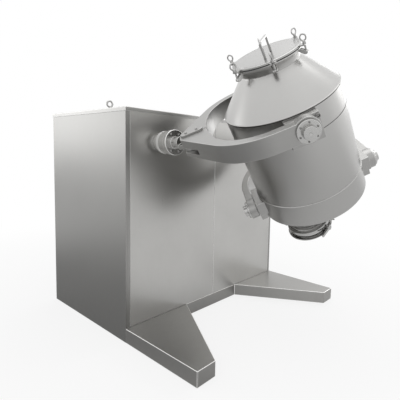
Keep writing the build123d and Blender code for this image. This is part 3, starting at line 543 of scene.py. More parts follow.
@dataclass
class Workshop:
    """Tools that shape, join and finish pieces the way they are made by hand."""

    smooth_angle: float = math.radians(36)
    ease_angle: float = math.radians(38)
    flat_angle: float = math.radians(0.05)
    solid_merge: float = 0.00001
    piece_merge: float = 0.000002
    wire_sides: int = 14

    def __post_init__(self) -> None:
        """Build every finish once."""
        self.materials = {key: finish.make() for key, finish in FINISHES.items()}

    @staticmethod
    def only(piece: bpy.types.Object) -> None:
        """Select one piece and make it active.

        Args:
            piece: The piece.
        """
        bpy.ops.object.select_all(action="DESELECT")
        piece.select_set(True)
        bpy.context.view_layer.objects.active = piece

    def dress_nodes(self) -> None:
        """Give every solid that stays in view its finish."""
        for finish, nodes in NODE_FINISH.items():
            for node in nodes:
                data = frame["nodes"][node].data
                data.materials.clear()
                data.materials.append(self.materials[finish])
                LOG.info("%s dressed as %s", node, finish)

    @staticmethod
    def _cap(piece: bpy.types.Object, first: int, count: int) -> None:
        """Fill one end ring of a turned shape.

        Args:
            piece: The shape, in object mode.
            first: The ring's first vertex.
            count: The ring's number of vertices.
        """
        bpy.ops.object.mode_set(mode="EDIT")
        bpy.ops.mesh.select_all(action="DESELECT")
        bpy.ops.object.mode_set(mode="OBJECT")
        for vertex in piece.data.vertices[first:first + count]:
            vertex.select = True
        bpy.ops.object.mode_set(mode="EDIT")
        bpy.ops.mesh.edge_face_add()
        bpy.ops.object.mode_set(mode="OBJECT")

    def clean(self, piece: bpy.types.Object) -> None:
        """Merge doubled points and turn every face outwards.

        Args:
            piece: The piece.
        """
        self.only(piece)
        bpy.ops.object.mode_set(mode="EDIT")
        bpy.ops.mesh.select_all(action="SELECT")
        bpy.ops.mesh.remove_doubles(threshold=self.piece_merge)
        bpy.ops.mesh.normals_make_consistent(inside=False)
        bpy.ops.object.mode_set(mode="OBJECT")

    def turned(
        self, name: str, section: list[Ring], segments: int = 96, hollow: bool = False
    ) -> bpy.types.Object:
        """Turn a shape about its z axis, ring by ring.

        Args:
            name: The piece's name.
            section: The rings from one end to the other.
            segments: The number of sides.
            hollow: The section closes on itself, so neither end is filled.

        Returns:
            The piece in its own frame.
        """
        start = section[0]
        bpy.ops.object.select_all(action="DESELECT")
        bpy.ops.mesh.primitive_circle_add(
            vertices=segments, radius=start.radius, location=(start.x, start.y, start.height)
        )
        piece = bpy.context.active_object
        piece.name = name
        bpy.ops.object.transform_apply(location=True)
        bpy.ops.object.mode_set(mode="EDIT")
        bpy.ops.mesh.select_all(action="SELECT")
        before = start
        for ring in section[1:] + ([start] if hollow else []):
            step = (ring.x - before.x, ring.y - before.y, ring.height - before.height)
            ratio = ring.radius / before.radius
            centre = (ring.x, ring.y, ring.height)
            bpy.ops.mesh.extrude_region()
            bpy.ops.transform.translate(value=step)
            bpy.ops.transform.resize(value=(ratio, ratio, 1.0), center_override=centre)
            before = ring
        bpy.ops.object.mode_set(mode="OBJECT")
        if not hollow:
            count = len(piece.data.vertices)
            self._cap(piece, 0, segments)
            self._cap(piece, count - segments, segments)
        self.clean(piece)
        return piece

    def plate(self, name: str, outline: Profile, thickness: float, ease: float) -> bpy.types.Object:
        """Cut a plate to an outline and ease its edges.

        Args:
            name: The piece's name.
            outline: Corners in millimetres, in order, in the local x and y.
            thickness: The plate's thickness in metres, towards local z.
            ease: The width of the eased edge in metres.

        Returns:
            The piece in its own frame.
        """
        bpy.ops.object.select_all(action="DESELECT")
        bpy.ops.mesh.primitive_circle_add(vertices=len(outline), radius=1.0, fill_type="NGON")
        piece = bpy.context.active_object
        piece.name = name
        for vertex, corner in zip(piece.data.vertices, outline):
            vertex.co = (corner[0] * MM, corner[1] * MM, 0.0)
        bpy.ops.object.mode_set(mode="EDIT")
        bpy.ops.mesh.select_all(action="SELECT")
        bpy.ops.mesh.extrude_region()
        bpy.ops.transform.translate(value=(0.0, 0.0, thickness))
        bpy.ops.object.mode_set(mode="OBJECT")
        self.clean(piece)
        if ease > 0:
            self.ease(piece, ease)
        return piece

    def ring_of_wire(self, radius: float, wire: float, place: Matrix, steps: int = 40) -> bpy.types.Object:
        """Bend a round wire to a closed ring.

        Args:
            radius: The ring's middle radius.
            wire: The wire's radius.
            place: Where the ring's centre lies and which way its axis looks.
            steps: The number of steps round the ring.

        Returns:
            The ring, in place.
        """
        bpy.ops.object.select_all(action="DESELECT")
        bpy.ops.mesh.primitive_torus_add(
            major_radius=radius, minor_radius=wire, major_segments=steps, minor_segments=self.wire_sides
        )
        piece = bpy.context.active_object
        piece.data.transform(place)
        return piece

    def ease(self, piece: bpy.types.Object, width: float, marked: int = -1) -> None:
        """Ease the sharp edges of a piece.

        Args:
            piece: The piece.
            width: The width of the eased edge.
            marked: The material slot that the eased edge takes, or -1.
        """
        self.only(piece)
        bevel = piece.modifiers.new("ease", "BEVEL")
        bevel.width = width
        bevel.segments = 2
        bevel.limit_method = "ANGLE"
        bevel.angle_limit = self.ease_angle
        bevel.use_clamp_overlap = False
        bevel.miter_outer = "MITER_ARC"
        bevel.material = marked
        bpy.ops.object.modifier_apply(modifier=bevel.name)

    def join(self, name: str, parts: list[bpy.types.Object]) -> bpy.types.Object:
        """Join parts into one piece.

        Args:
            name: The joined piece's name.
            parts: The parts.

        Returns:
            The joined piece.
        """
        bpy.ops.object.select_all(action="DESELECT")
        for part in parts:
            part.select_set(True)
        bpy.context.view_layer.objects.active = parts[0]
        if len(parts) > 1:
            bpy.ops.object.join()
        parts[0].name = name
        return parts[0]

    @staticmethod
    def copy_at(name: str, model: bpy.types.Object, place: Matrix) -> bpy.types.Object:
        """Copy a model to one place.

        Args:
            name: The copy's name.
            model: The model in its own frame.
            place: Where the copy stands.

        Returns:
            The copy, with a mesh of its own.
        """
        data = model.data.copy()
        data.transform(place)
        part = bpy.data.objects.new(name, data)
        bpy.context.scene.collection.objects.link(part)
        return part

    def copies(self, name: str, model: bpy.types.Object, places: list[Matrix]) -> bpy.types.Object:
        """Copy a model to many places, join the copies and put the model away.

        Args:
            name: The joined piece's name.
            model: The model in its own frame.
            places: Where each copy stands.

        Returns:
            The joined piece.
        """
        parts = [self.copy_at(f"{name}_{number}", model, place) for number, place in enumerate(places)]
        bpy.data.objects.remove(model)
        return self.join(name, parts)

    def finish(self, piece: bpy.types.Object, role: Role) -> None:
        """Smooth a piece, give it its finish and tie it to its body.

        Args:
            piece: The piece, in place.
            role: What the piece is.
        """
        self.only(piece)
        bpy.ops.object.transform_apply(location=True, rotation=True, scale=True)
        bpy.ops.object.shade_smooth_by_angle(angle=self.smooth_angle)
        even = piece.modifiers.new("even", "WEIGHTED_NORMAL")
        even.keep_sharp = True
        bpy.ops.object.modifier_apply(modifier=even.name)
        keys = [role.finish] + ([role.edge] if role.edge else [])
        if len(piece.data.materials) != len(keys):
            piece.data.materials.clear()
            for key in keys:
                piece.data.materials.append(self.materials[key])
        if role.nodes:
            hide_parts(*role.nodes)
        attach(piece, role.body)
        LOG.info("%s finished", piece.name)

    def eased_copy(
        self, node: str, width: float, role: Role, cutter: bpy.types.Object | None = None
    ) -> None:
        """Copy a solid, join its loose faces, cut it to shape and ease its sharp edges.

        Args:
            node: The solid's name.
            width: The width of the eased edge in metres.
            role: What the piece is; its edge finish goes on the eased edges.
            cutter: A closed shape to take away first.
        """
        piece = self.copy_at(f"{node}_eased", frame["nodes"][node], Matrix.Identity(4))
        self.only(piece)
        piece.data.materials.clear()
        piece.data.materials.append(self.materials[role.finish])
        if role.edge:
            piece.data.materials.append(self.materials[role.edge])
        bpy.ops.object.mode_set(mode="EDIT")
        bpy.ops.mesh.select_all(action="SELECT")
        bpy.ops.mesh.remove_doubles(threshold=self.solid_merge)
        bpy.ops.mesh.dissolve_limited(angle_limit=self.flat_angle)
        bpy.ops.object.mode_set(mode="OBJECT")
        if cutter is not None:
            cut = piece.modifiers.new("cut", "BOOLEAN")
            cut.operation = "DIFFERENCE"
            cut.solver = "EXACT"
            cut.object = cutter
            bpy.ops.object.modifier_apply(modifier=cut.name)
            bpy.data.objects.remove(cutter)
        self.ease(piece, width, 1 if role.edge else -1)
        self.finish(piece, replace(role, nodes=(node,)))

    def socket_head(self, radius: float, height: float) -> bpy.types.Object:
        """Model one screw head with a socket, standing on z = 0.

        Args:
            radius: The head's radius.
            height: The head's height.

        Returns:
            The head in its own frame.
        """
        shape = ((1.0, 0.0), (1.0, 0.75), (0.85, 1.0), (0.55, 1.0), (0.5, 0.4))
        return self.turned("socket_head", [Ring(radius * out, height * up) for out, up in shape], 12)

    def hex_head(self, radius: float, height: float) -> bpy.types.Object:
        """Model one hexagon head on its washer, standing on z = 0.

        Args:
            radius: The hexagon's outer radius.
            height: The height with the washer.

        Returns:
            The head in its own frame.
        """
        washer, rim, ease = height * 0.2, radius * 1.12, radius * 0.1
        disc = self.turned("washer", [Ring(rim, 0.0), Ring(rim, washer)], 24)
        head = self.turned("head", [Ring(radius, washer), Ring(radius, height)], 6)
        self.ease(head, ease)
        return self.join("hex_head", [disc, head])


@dataclass
class Cabinet:
    """The sheets, plinth and cover, with the lifting eyes, rear screws and front weld bead."""

    shop: Workshop
    plinth_ease: float = 0.003
    sheet_ease: float = 0.0016
    sheets: tuple[tuple[str, str], ...] = (
        ("top_cover", "cover_sheet"),
        ("left_side_panel", "side_sheet"),
        ("right_side_panel", "side_sheet"),
        ("rear_panel", "side_sheet"),
        ("front_panel_left", "front_sheet_painted_lighter"),
        ("front_panel_right", "front_sheet_painted_lighter"),
    )
    screw_radius: float = 0.007
    screw_height: float = 0.003
    screw_rows: int = 5
    bead: Profile = ((0.0, 0.0), (3.0, 0.0), (1.65, 2.25), (0.0, 3.0))
    bead_ease: float = 0.0004
    eye_stem: Profile = ((16, 0), (16, 3.5), (14.5, 5), (10, 6), (7.2, 9), (6.2, 14), (6.2, 17))
    eye_radius: float = 0.017
    eye_wire: float = 0.0055
    eye_rise: float = 0.031

    def build(self) -> None:
        """Make the pieces."""
        # The eased edges of the plinth and the sheets take the painted-highlight finish.
        plinth = Role("plinth_sheet", "brushed_steel", "stand", edge="painted_highlight_edge")
        self.shop.eased_copy("base_frame", self.plinth_ease, plinth)
        for node, finish in self.sheets:
            self.shop.eased_copy(node, self.sheet_ease, replace(plinth, finish=finish))
        self._rear_screws()
        self._front_bead()
        self._lifting_eyes()

    def _rear_screws(self) -> None:
        """Screw the rear sheet down along both sides."""
        low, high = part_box("panel_screws")
        step = (high.z - low.z - 2 * self.screw_radius) / (self.screw_rows - 1)
        places = [
            facing(Vector((x, low.y, low.z + self.screw_radius + step * row)), -FRONT, RIGHT)
            for x in (low.x + self.screw_radius, high.x - self.screw_radius)
            for row in range(self.screw_rows)
        ]
        head = self.shop.socket_head(self.screw_radius, self.screw_height)
        screws = self.shop.copies("rear_panel_screws", head, places)
        self.shop.finish(screws, Role("polished", "polished_steel", "stand", ("panel_screws",)))

    def _front_bead(self) -> None:
        """Run a weld bead along the foot of the front panels."""
        low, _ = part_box("front_panel_left")
        _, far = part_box("front_panel_right")
        bead = self.shop.plate("front_weld_bead", self.bead, far.x - low.x, self.bead_ease)
        bead.data.transform(facing(Vector((low.x, low.y, low.z)), RIGHT, FRONT))
        self.shop.clean(bead)
        # The bead takes the painted-highlight finish.
        self.shop.finish(bead, Role("painted_highlight_edge", "brushed_steel", "stand"))

    def _lifting_eyes(self) -> None:
        """Stand a ring bolt on each side of the cover."""
        low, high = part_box("lifting_eyes")
        collar = self.shop.turned("eye_collar", rings(self.eye_stem), 40)
        loop = self.shop.ring_of_wire(self.eye_radius, self.eye_wire, front_facing(0, 0, self.eye_rise))
        model = self.shop.join("eye", [collar, loop])
        side = self.eye_radius + self.eye_wire
        middle = (low.y + high.y) / 2
        places = [Matrix.Translation((x, middle, low.z)) for x in (low.x + side, high.x - side)]
        eyes = self.shop.copies("cover_ring_bolts", model, places)
        self.shop.finish(eyes, Role("polished", "polished_steel", "stand", ("lifting_eyes",)))


@dataclass
class Shafts:
    """The two shafts with their collars, seal rings and bolts."""

    shop: Workshop
    ease: float = 0.0012
    seal_foot: Profile = ((32.4, 0.0),)
    seal_rim: Profile = ((-3, 0), (0, 2.5), (0, 11), (-1.4, 11.6), (-1.4, 13), (0, 13.6))
    seal_edge: Profile = ((0, -3.5), (-3.5, 0))
    seal_lip: Profile = ((44, 0), (42, -1.5), (32.4, -1.5))
    bolt_radius: float = 0.008
    bolt_height: float = 0.007
    bolt_circle: float = 0.055
    bolt_count: int = 6

    def build(self) -> None:
        """Make the pieces."""
        for shaft in ("drive", "driven"):
            body = f"{shaft}_shaft"
            # The shaft's eased edges take the painted-highlight finish.
            role = Role("machined", "machined_steel", body, edge="painted_highlight_edge")
            self.shop.eased_copy(body, self.ease, role)
            self._seal(shaft)
            self._bolts(shaft)

    def _seal(self, shaft: str) -> None:
        """Fit the white seal ring with its lip.

        Args:
            shaft: Which shaft it is.
        """
        low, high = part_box(f"{shaft}_seal_ring")
        length, outer = high.y - low.y, (high.x - low.x) / 2
        section = rings(self.seal_foot) + rings(self.seal_rim, outer)
        section += rings(self.seal_edge, outer, length) + rings(self.seal_lip, 0.0, length)
        ring = self.shop.turned(f"{shaft}_lip_seal", section, hollow=True)
        ring.data.transform(front_facing((low.x + high.x) / 2, high.y, (low.z + high.z) / 2))
        self.shop.finish(ring, Role("white_seal", "white_seal", "stand", (f"{shaft}_seal_ring",)))

    def _bolts(self, shaft: str) -> None:
        """Bolt the collar with hexagon heads.

        Args:
            shaft: Which shaft it is.
        """
        centre, _ = joint_place(f"{shaft}_spin")
        _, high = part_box(f"{shaft}_flange_bolts")
        places = []
        for number in range(self.bolt_count):
            angle = 2 * math.pi / self.bolt_count * number
            x = centre.x + math.cos(angle) * self.bolt_circle
            z = centre.z + math.sin(angle) * self.bolt_circle
            places.append(front_facing(x, high.y, z))
        head = self.shop.hex_head(self.bolt_radius, self.bolt_height)
        bolts = self.shop.copies(f"{shaft}_collar_bolts", head, places)
        role = Role("polished", "polished_steel", f"{shaft}_shaft", (f"{shaft}_flange_bolts",))
        self.shop.finish(bolts, role)


@dataclass
class Fork:
    """One fork with its keeper plate, its two bearing covers and their screws.

    The crown's sizes are in millimetres, as an outline's are, and the rest in metres.
    """

    shop: Workshop
    level: str
    cover_radius: float
    cap_radius: float = 0.034
    cover_thickness: float = 0.012
    cover_rim: Profile = ((-2.6, 0), (-2.6, 1.6), (0, 2), (0, 9.8), (-2.2, 12))
    cap_rim: Profile = ((2.4, 12), (1.6, 11.2), (0, 11.2), (0, 31.4), (-0.8, 33.2), (-2.8, 34))
    cap_dimple: Profile = ((7, 34), (5, 32.4))
    arm_outer: float = 0.416
    screw_radius: float = 0.0048
    screw_height: float = 0.0042
    screw_count: int = 6
    screw_start: float = math.radians(15)
    ease: float = 0.0024
    keeper_ease: float = 0.0008
    crown_x: float = 108.0
    crown_radius: float = 560.0
    crown_half_span: float = 200.0
    crown_depth: float = 60.0
    crown_steps: int = 12
    half_height: float = 0.051
    cut_margin: float = 0.01

    def build(self) -> None:
        """Make the pieces."""
        shop, level, body = self.shop, self.level, f"{self.level}_fork"
        plate = Role(f"{level}_fork_plate", "satin_steel", body, edge="painted_sheen_edge")
        shop.eased_copy(body, self.ease, plate, self._crown_cutter())
        shop.eased_copy(f"{level}_pin_keeper", self.keeper_ease, plate)
        sides = self._sides()
        covers = shop.copies(f"{level}_end_covers", self._cover(), sides)
        shop.finish(covers, Role("machined", "satin_steel", body, (f"{level}_bearing_covers",)))
        screws = shop.copies(f"{level}_socket_screws", self._screws(), sides)
        shop.finish(screws, Role("dark_fastener", "polished_steel", body, (f"{level}_cover_screws",)))

    def _crown_cutter(self) -> bpy.types.Object:
        """Make the shape that rounds the crown's inside to one smooth arc.

        Returns:
            The closed shape, in place.
        """
        radius, span = self.crown_radius, self.crown_half_span
        middle, reach = self.crown_x + radius, math.asin(span / radius)
        angles = [reach * (number / self.crown_steps - 1) for number in range(2 * self.crown_steps + 1)]
        outline = [(middle - radius * math.cos(angle), radius * math.sin(angle)) for angle in angles]
        outline += [(outline[-1][0] + self.crown_depth, span), (outline[0][0] + self.crown_depth, -span)]
        height = self.half_height + self.cut_margin
        cutter = self.shop.plate("crown_cutter", tuple(outline), 2 * height, 0.0)
        cutter.data.transform(LINKS[f"{self.level}_fork"].matrix() @ Matrix.Translation((0, 0, -height)))
        return cutter

    def _sides(self) -> list[Matrix]:
        """Find the outer faces of the two arm ends, looking outward.

        Returns:
            The two places.
        """
        link = LINKS[f"{self.level}_fork"]
        eye, _ = joint_place("barrel_rock" if self.level == "upper" else "lower_fork_swing")
        return [facing(eye + link.y * (side * self.arm_outer), link.y * side, link.x) for side in (-1, 1)]

    def _cover(self) -> bpy.types.Object:
        """Turn one cover with its cap, standing on z = 0.

        Returns:
            The cover in its own frame.
        """
        section = rings(self.cover_rim, self.cover_radius) + rings(self.cap_rim, self.cap_radius)
        return self.shop.turned("cover", section + rings(self.cap_dimple), 80)

    def _screws(self) -> bpy.types.Object:
        """Set the screw heads of one cover on their circle.

        Returns:
            The heads in the cover's frame.
        """
        circle = (self.cover_radius + self.cap_radius) / 2
        places = []
        for number in range(self.screw_count):
            angle = self.screw_start + 2 * math.pi / self.screw_count * number
            spot = (math.cos(angle) * circle, math.sin(angle) * circle, self.cover_thickness)
            places.append(Matrix.Translation(spot))
        head = self.shop.socket_head(self.screw_radius, self.screw_height)
        return self.shop.copies("screws", head, places)


@dataclass
class Barrel:
    """The barrel's wall, trunnion pads, lid, handle, clamps and the small ring bolt on a pad."""

    shop: Workshop
    pad_ease: float = 0.0022
    handle_ease: float = 0.003
    plate_ease: float = 0.0009
    outside: Profile = (
        (182, 280), (184, 279), (184, 273.5), (183, 272), (179, 270.5), (173.5, 264), (169, 254),
        (165.5, 243), (163.5, 236), (163, 233.2), (164.5, 231.6), (166.6, 230), (168, 226.4), (322, 63.4),
        (325.4, 61.6), (327, 60), (327, 57.6), (326, 56.4), (323, 56), (323, 53.4), (325, 52.8),
        (325, -459.6), (328, -461), (330, -464), (328.6, -467), (327, -468), (327, -605.6),
        (325.4, -607.6), (321, -608.6),
    )
    outlet_neck: Profile = (
        (106, -699), (106.6, -701), (105, -704), (105, -716), (108, -718.6), (125, -719), (126, -720),
        (126, -725), (125, -726), (99, -726), (99, -700.6),
    )
    inside: Profile = ((309, -606), (319, -604), (319, 56), (160, 224), (160, 280))
    wall_sides: int = 160
    seam_inner: float = 323.0
    seam_outer: float = 326.0
    seam_shadows: tuple[tuple[str, float, float], ...] = (
        ("shoulder_seam_shadow", 52.6, 56.2), ("wall_seam_shadow", -71.4, -69.0),
    )
    lid_section: Profile = (
        (182, 284), (186, 284.2), (187, 285.4), (187, 290), (186, 292.6), (183.6, 294), (172, 294),
        (171.4, 293), (169, 293), (168.4, 294), (20, 294.4),
    )
    lug_outline: Profile = (
        (176, -17), (210, -17), (213, -14), (213, -6.5), (201.5, -6.5),
        (201.5, 6.5), (213, 6.5), (213, 14), (210, 17), (176, 17),
    )
    lug_base: float = 0.284
    lug_thickness: float = 0.007
    ear_outline: Profile = (
        (172, 262), (196, 243.5), (204, 241.4), (213, 243.6),
        (217, 250), (213.4, 256.6), (186, 271.8), (172, 271.8),
    )
    ear_thickness: float = 0.005
    ear_gap: float = 0.006
    pin_section: Profile = (
        (3, -13), (5, -12.6), (5, -11), (3, -11), (3, 11), (5, 11), (5, 12.6), (3, 13),
    )
    clamp_circle: float = 0.208
    pivot_height: float = 0.25
    bolt_eye: Profile = ((3.1, -5), (7.2, -5), (8, -4.2), (8, 4.2), (7.2, 5), (3.1, 5))
    shank: Profile = ((4.7, 7.4), (4.7, 22))
    thread: Profile = ((4.2, 23), (4.8, 23.9))
    thread_end: Profile = ((4.7, 8),)
    thread_pitch: float = 0.0018
    thread_turns: int = 11
    nut_base: float = 0.2918
    nut_section: Profile = (
        (10.4, -0.6), (10.6, 0), (10.6, 1.4), (9, 1.8), (9, 11), (7.8, 13.6), (5, 14.6),
    )
    loop_radius: float = 0.015
    loop_wire: float = 0.0039
    loop_rise: float = 0.028
    pad_spot: tuple[float, float, float] = (0.365, 0.073, 0.029)
    pad_across: tuple[float, float, float] = (0.0, 0.8, 0.6)
    pad_stem: Profile = ((4.5, 0), (4.5, 3), (3.6, 4), (2, 4.4))
    pad_loop_radius: float = 0.0105
    pad_loop_wire: float = 0.0028
    pad_loop_rise: float = 0.0034

    def build(self) -> None:
        """Make the pieces."""
        self._wall()
        for level in ("upper", "lower"):
            pads = Role(f"{level}_fork_plate", "satin_steel", "barrel", edge="painted_sheen_edge")
            self.shop.eased_copy(f"{level}_trunnion_pads", self.pad_ease, pads)
        self._lid()
        self.shop.eased_copy("lid_handle", self.handle_ease, Role("polished", "polished_steel", "barrel"))
        self._brackets()
        self._swing_bolts()
        self._pad_ring_bolt()

    def _wall(self) -> None:
        """Turn the wall from the rim down to the outlet and back up inside, and thin dark rings of painted
        shadow at its seams.
        """
        section = rings(self.outside) + rings(self.outlet_neck, x=OUTLET_X, y=OUTLET_Y) + rings(self.inside)
        shell = self.shop.turned("barrel_wall", section, self.wall_sides, hollow=True)
        shell.data.transform(BARREL)
        self.shop.finish(shell, Role("barrel_wall", "satin_steel", "barrel", ("barrel_shell",)))
        # Painted shadow: a thin near-black ring at each seam stands in for the shadow line under the
        # shoulder and along the wall seam.
        for name, low, high in self.seam_shadows:
            inner, outer = self.seam_inner, self.seam_outer
            section = rings(((inner, low), (outer, low), (outer, high), (inner, high)))
            seam_shadow = self.shop.turned(name, section, self.wall_sides, hollow=True)
            seam_shadow.data.transform(BARREL)
            self.shop.finish(seam_shadow, Role("seam_shadow", "satin_steel", "barrel"))

    def _lid(self) -> None:
        """Turn the lid and set its slotted lugs round it."""
        plate = self.shop.turned("lid_plate", rings(self.lid_section), 128)
        lug = self.shop.plate("lug", self.lug_outline, self.lug_thickness, self.plate_ease)
        rise = Matrix.Translation((0, 0, self.lug_base))
        lugs = self.shop.copies("lugs", lug, [turned_by(angle) @ rise for angle in CLAMP_ANGLES])
        lid = self.shop.join("clamped_lid", [plate, lugs])
        lid.data.transform(BARREL)
        self.shop.finish(lid, Role("lid_plate", "satin_steel", "barrel", ("lid",)))

    def _brackets(self) -> None:
        """Weld two ears and a pivot pin under the rim for each swing bolt."""
        ear = self.shop.plate("ear", self.ear_outline, self.ear_thickness, self.plate_ease)
        starts = (-self.ear_gap, self.ear_gap + self.ear_thickness)
        ears = self.shop.copies("ears", ear, [front_facing(0, start, 0) for start in starts])
        pin = self.shop.turned("pin", rings(self.pin_section), 24)
        pin.data.transform(front_facing(self.clamp_circle, 0, self.pivot_height))
        model = self.shop.join("bracket", [ears, pin])
        places = [BARREL @ turned_by(angle) for angle in CLAMP_ANGLES]
        brackets = self.shop.copies("clamp_ears", model, places)
        self.shop.finish(brackets, Role("machined", "satin_steel", "barrel", ("clamp_brackets",)))

    def _swing_bolt(self) -> bpy.types.Object:
        """Model one bolt with its eye, thread and ring nut.

        Returns:
            The bolt, upright, with its axis on z.
        """
        shop = self.shop
        eye = shop.turned("eye", rings(self.bolt_eye), 28, hollow=True)
        eye.data.transform(front_facing(0, 0, self.pivot_height))
        stud_section = rings(self.shank, lift=self.pivot_height)
        for turn in range(self.thread_turns):
            stud_section += rings(self.thread, lift=self.pivot_height + turn * self.thread_pitch)
        stud_section += rings(self.thread_end, lift=self.nut_base)
        stud = shop.turned("stud", stud_section, 18)
        nut = shop.turned("nut", rings(self.nut_section, lift=self.nut_base), 28)
        centre = front_facing(0, 0, self.nut_base + self.loop_rise)
        loop = shop.ring_of_wire(self.loop_radius, self.loop_wire, centre)
        return shop.join("swing_bolt", [eye, stud, nut, loop])

    def _swing_bolts(self) -> None:
        """Set the six swing bolts in their ears, each on a body of its own."""
        model = self._swing_bolt()
        out = Matrix.Translation((self.clamp_circle, 0, 0))
        for number, angle in enumerate(CLAMP_ANGLES, start=1):
            name = f"swing_bolt_{number}"
            bolt = self.shop.copy_at(f"ring_nut_bolt_{number}", model, BARREL @ turned_by(angle) @ out)
            self.shop.finish(bolt, Role("polished", "polished_steel", name, (name,)))
        bpy.data.objects.remove(model)

    def _pad_ring_bolt(self) -> None:
        """Fit the small ring bolt on the near upper pad."""
        stem = self.shop.turned("stem", rings(self.pad_stem), 24)
        rise = Matrix.Translation((0, 0, self.pad_loop_rise))
        loop = self.shop.ring_of_wire(self.pad_loop_radius, self.pad_loop_wire, rise, 32)
        bolt = self.shop.join("pad_ring_bolt", [stem, loop])
        bolt.data.transform(BARREL @ facing(Vector(self.pad_spot), RIGHT, Vector(self.pad_across)))
        self.shop.finish(bolt, Role("dark_fastener", "polished_steel", "barrel"))


@dataclass
class Outlet:
    """The discharge valve's body, its clamp with bolt and wing nut, and its lever."""

    shop: Workshop
    spindle_direction: float = math.radians(38)
    bolt_direction: float = math.radians(28)
    joint_height: float = -0.727
    housing: Profile = (
        (99, -1), (125, -1), (126, -1.8), (126, -6.6), (124, -8), (109, -9), (105.4, -13), (105, -21),
        (105.4, -30), (109, -34.4), (133, -35.6), (138, -36.6), (140, -38.6), (140, -40.6),
        (138.6, -42.4), (135, -43), (99, -43),
    )
    boss: Profile = ((9, 101), (9, 138.4), (7.6, 140))
    boss_drop: float = 0.022
    ring_sides: int = 128
    band: Profile = (
        (122, 11.4), (128, 12), (132, 10), (133, 6), (133, -6), (132, -10), (128, -12), (122, -11.4),
        (126.4, -8), (126.4, 8),
    )
    lug_outline: Profile = ((127, -12), (145, -12), (151, -7), (151, 7), (145, 12), (127, 12))
    lug_thickness: float = 0.009
    lug_starts: tuple[float, float] = (-0.005, 0.014)
    lug_ease: float = 0.0014
    bolt_reach: float = 0.144
    bolt: Profile = ((9, -25), (9, -19), (5, -18.4), (5, 35), (4, 36.4))
    hub: Profile = ((8.5, 17), (9, 18), (9, 27), (7, 31))
    wing: Profile = ((6, 19), (14, 22), (23, 27), (23.4, 33), (19, 33.2), (12, 29), (6, 27))
    wing_thickness: float = 0.004
    wing_ease: float = 0.0009
    lever_ease: float = 0.0022

    def build(self) -> None:
        """Make the pieces."""
        axis = BARREL @ Matrix.Translation((OUTLET_X, OUTLET_Y, 0.0)) @ turned_by(self.spindle_direction)
        self._valve(axis)
        self._clamp(axis @ turned_by(self.bolt_direction))
        self.shop.eased_copy("valve_lever", self.lever_ease, Role("polished", "polished_steel", "valve"))

    def _valve(self, place: Matrix) -> None:
        """Turn the valve body with its rolled rim and spindle boss.

        Args:
            place: The outlet's axis, with the spindle along local x.
        """
        section = rings(self.housing, lift=self.joint_height)
        body = self.shop.turned("body", section, self.ring_sides, hollow=True)
        boss = self.shop.turned("boss", rings(self.boss), 28)
        boss.data.transform(facing(Vector((0, 0, self.joint_height - self.boss_drop)), RIGHT, -FRONT))
        valve = self.shop.join("valve_housing", [body, boss])
        valve.data.transform(place)
        self.shop.finish(valve, Role("polished", "polished_steel", "barrel", ("valve_body",)))

    def _clamp(self, place: Matrix) -> None:
        """Close the two ferrules with a grooved band, two pairs of lugs, a bolt and a wing nut.

        Args:
            place: The outlet's axis, with the bolt's side along local x.
        """
        shop, level, halves = self.shop, self.joint_height, (Matrix.Identity(4), turned_by(math.pi))
        band = shop.turned("band", rings(self.band, lift=level), self.ring_sides, hollow=True)
        lug = shop.plate("lug", self.lug_outline, self.lug_thickness, self.lug_ease)
        places = [half @ front_facing(0, start, level) for half in halves for start in self.lug_starts]
        lugs = shop.copies("lugs", lug, places)
        bolt = shop.turned("bolt", rings(self.bolt), 24)
        hub = shop.turned("hub", rings(self.hub), 24)
        wing = shop.plate("wing", self.wing, self.wing_thickness, self.wing_ease)
        lay = front_facing(0, self.wing_thickness / 2, 0)
        wings = shop.copies("wings", wing, [half @ lay for half in halves])
        screw = shop.join("screw", [bolt, hub, wings])
        screw.data.transform(front_facing(self.bolt_reach, 0, level))
        clamp = shop.join("ferrule_clamp", [band, lugs, screw])
        clamp.data.transform(place)
        shop.finish(clamp, Role("polished", "polished_steel", "barrel", ("outlet_clamp",)))


@dataclass(frozen=True)
class Lamp:
    """One square lamp: where it hangs, what it faces, its side and its power."""

    name: str
    place: tuple[float, float, float]
    aim: tuple[float, float, float]
    size: float
    power: float

    def hang(self) -> None:
        """Hang the lamp."""
        data = bpy.data.lights.new(self.name, "AREA")
        data.size = self.size
        data.energy = self.power
        lamp = bpy.data.objects.new(self.name, data)
        bpy.context.scene.collection.objects.link(lamp)
        lamp.location = self.place
        lamp.rotation_euler = (Vector(self.aim) - Vector(self.place)).to_track_quat("-Z", "Y").to_euler()


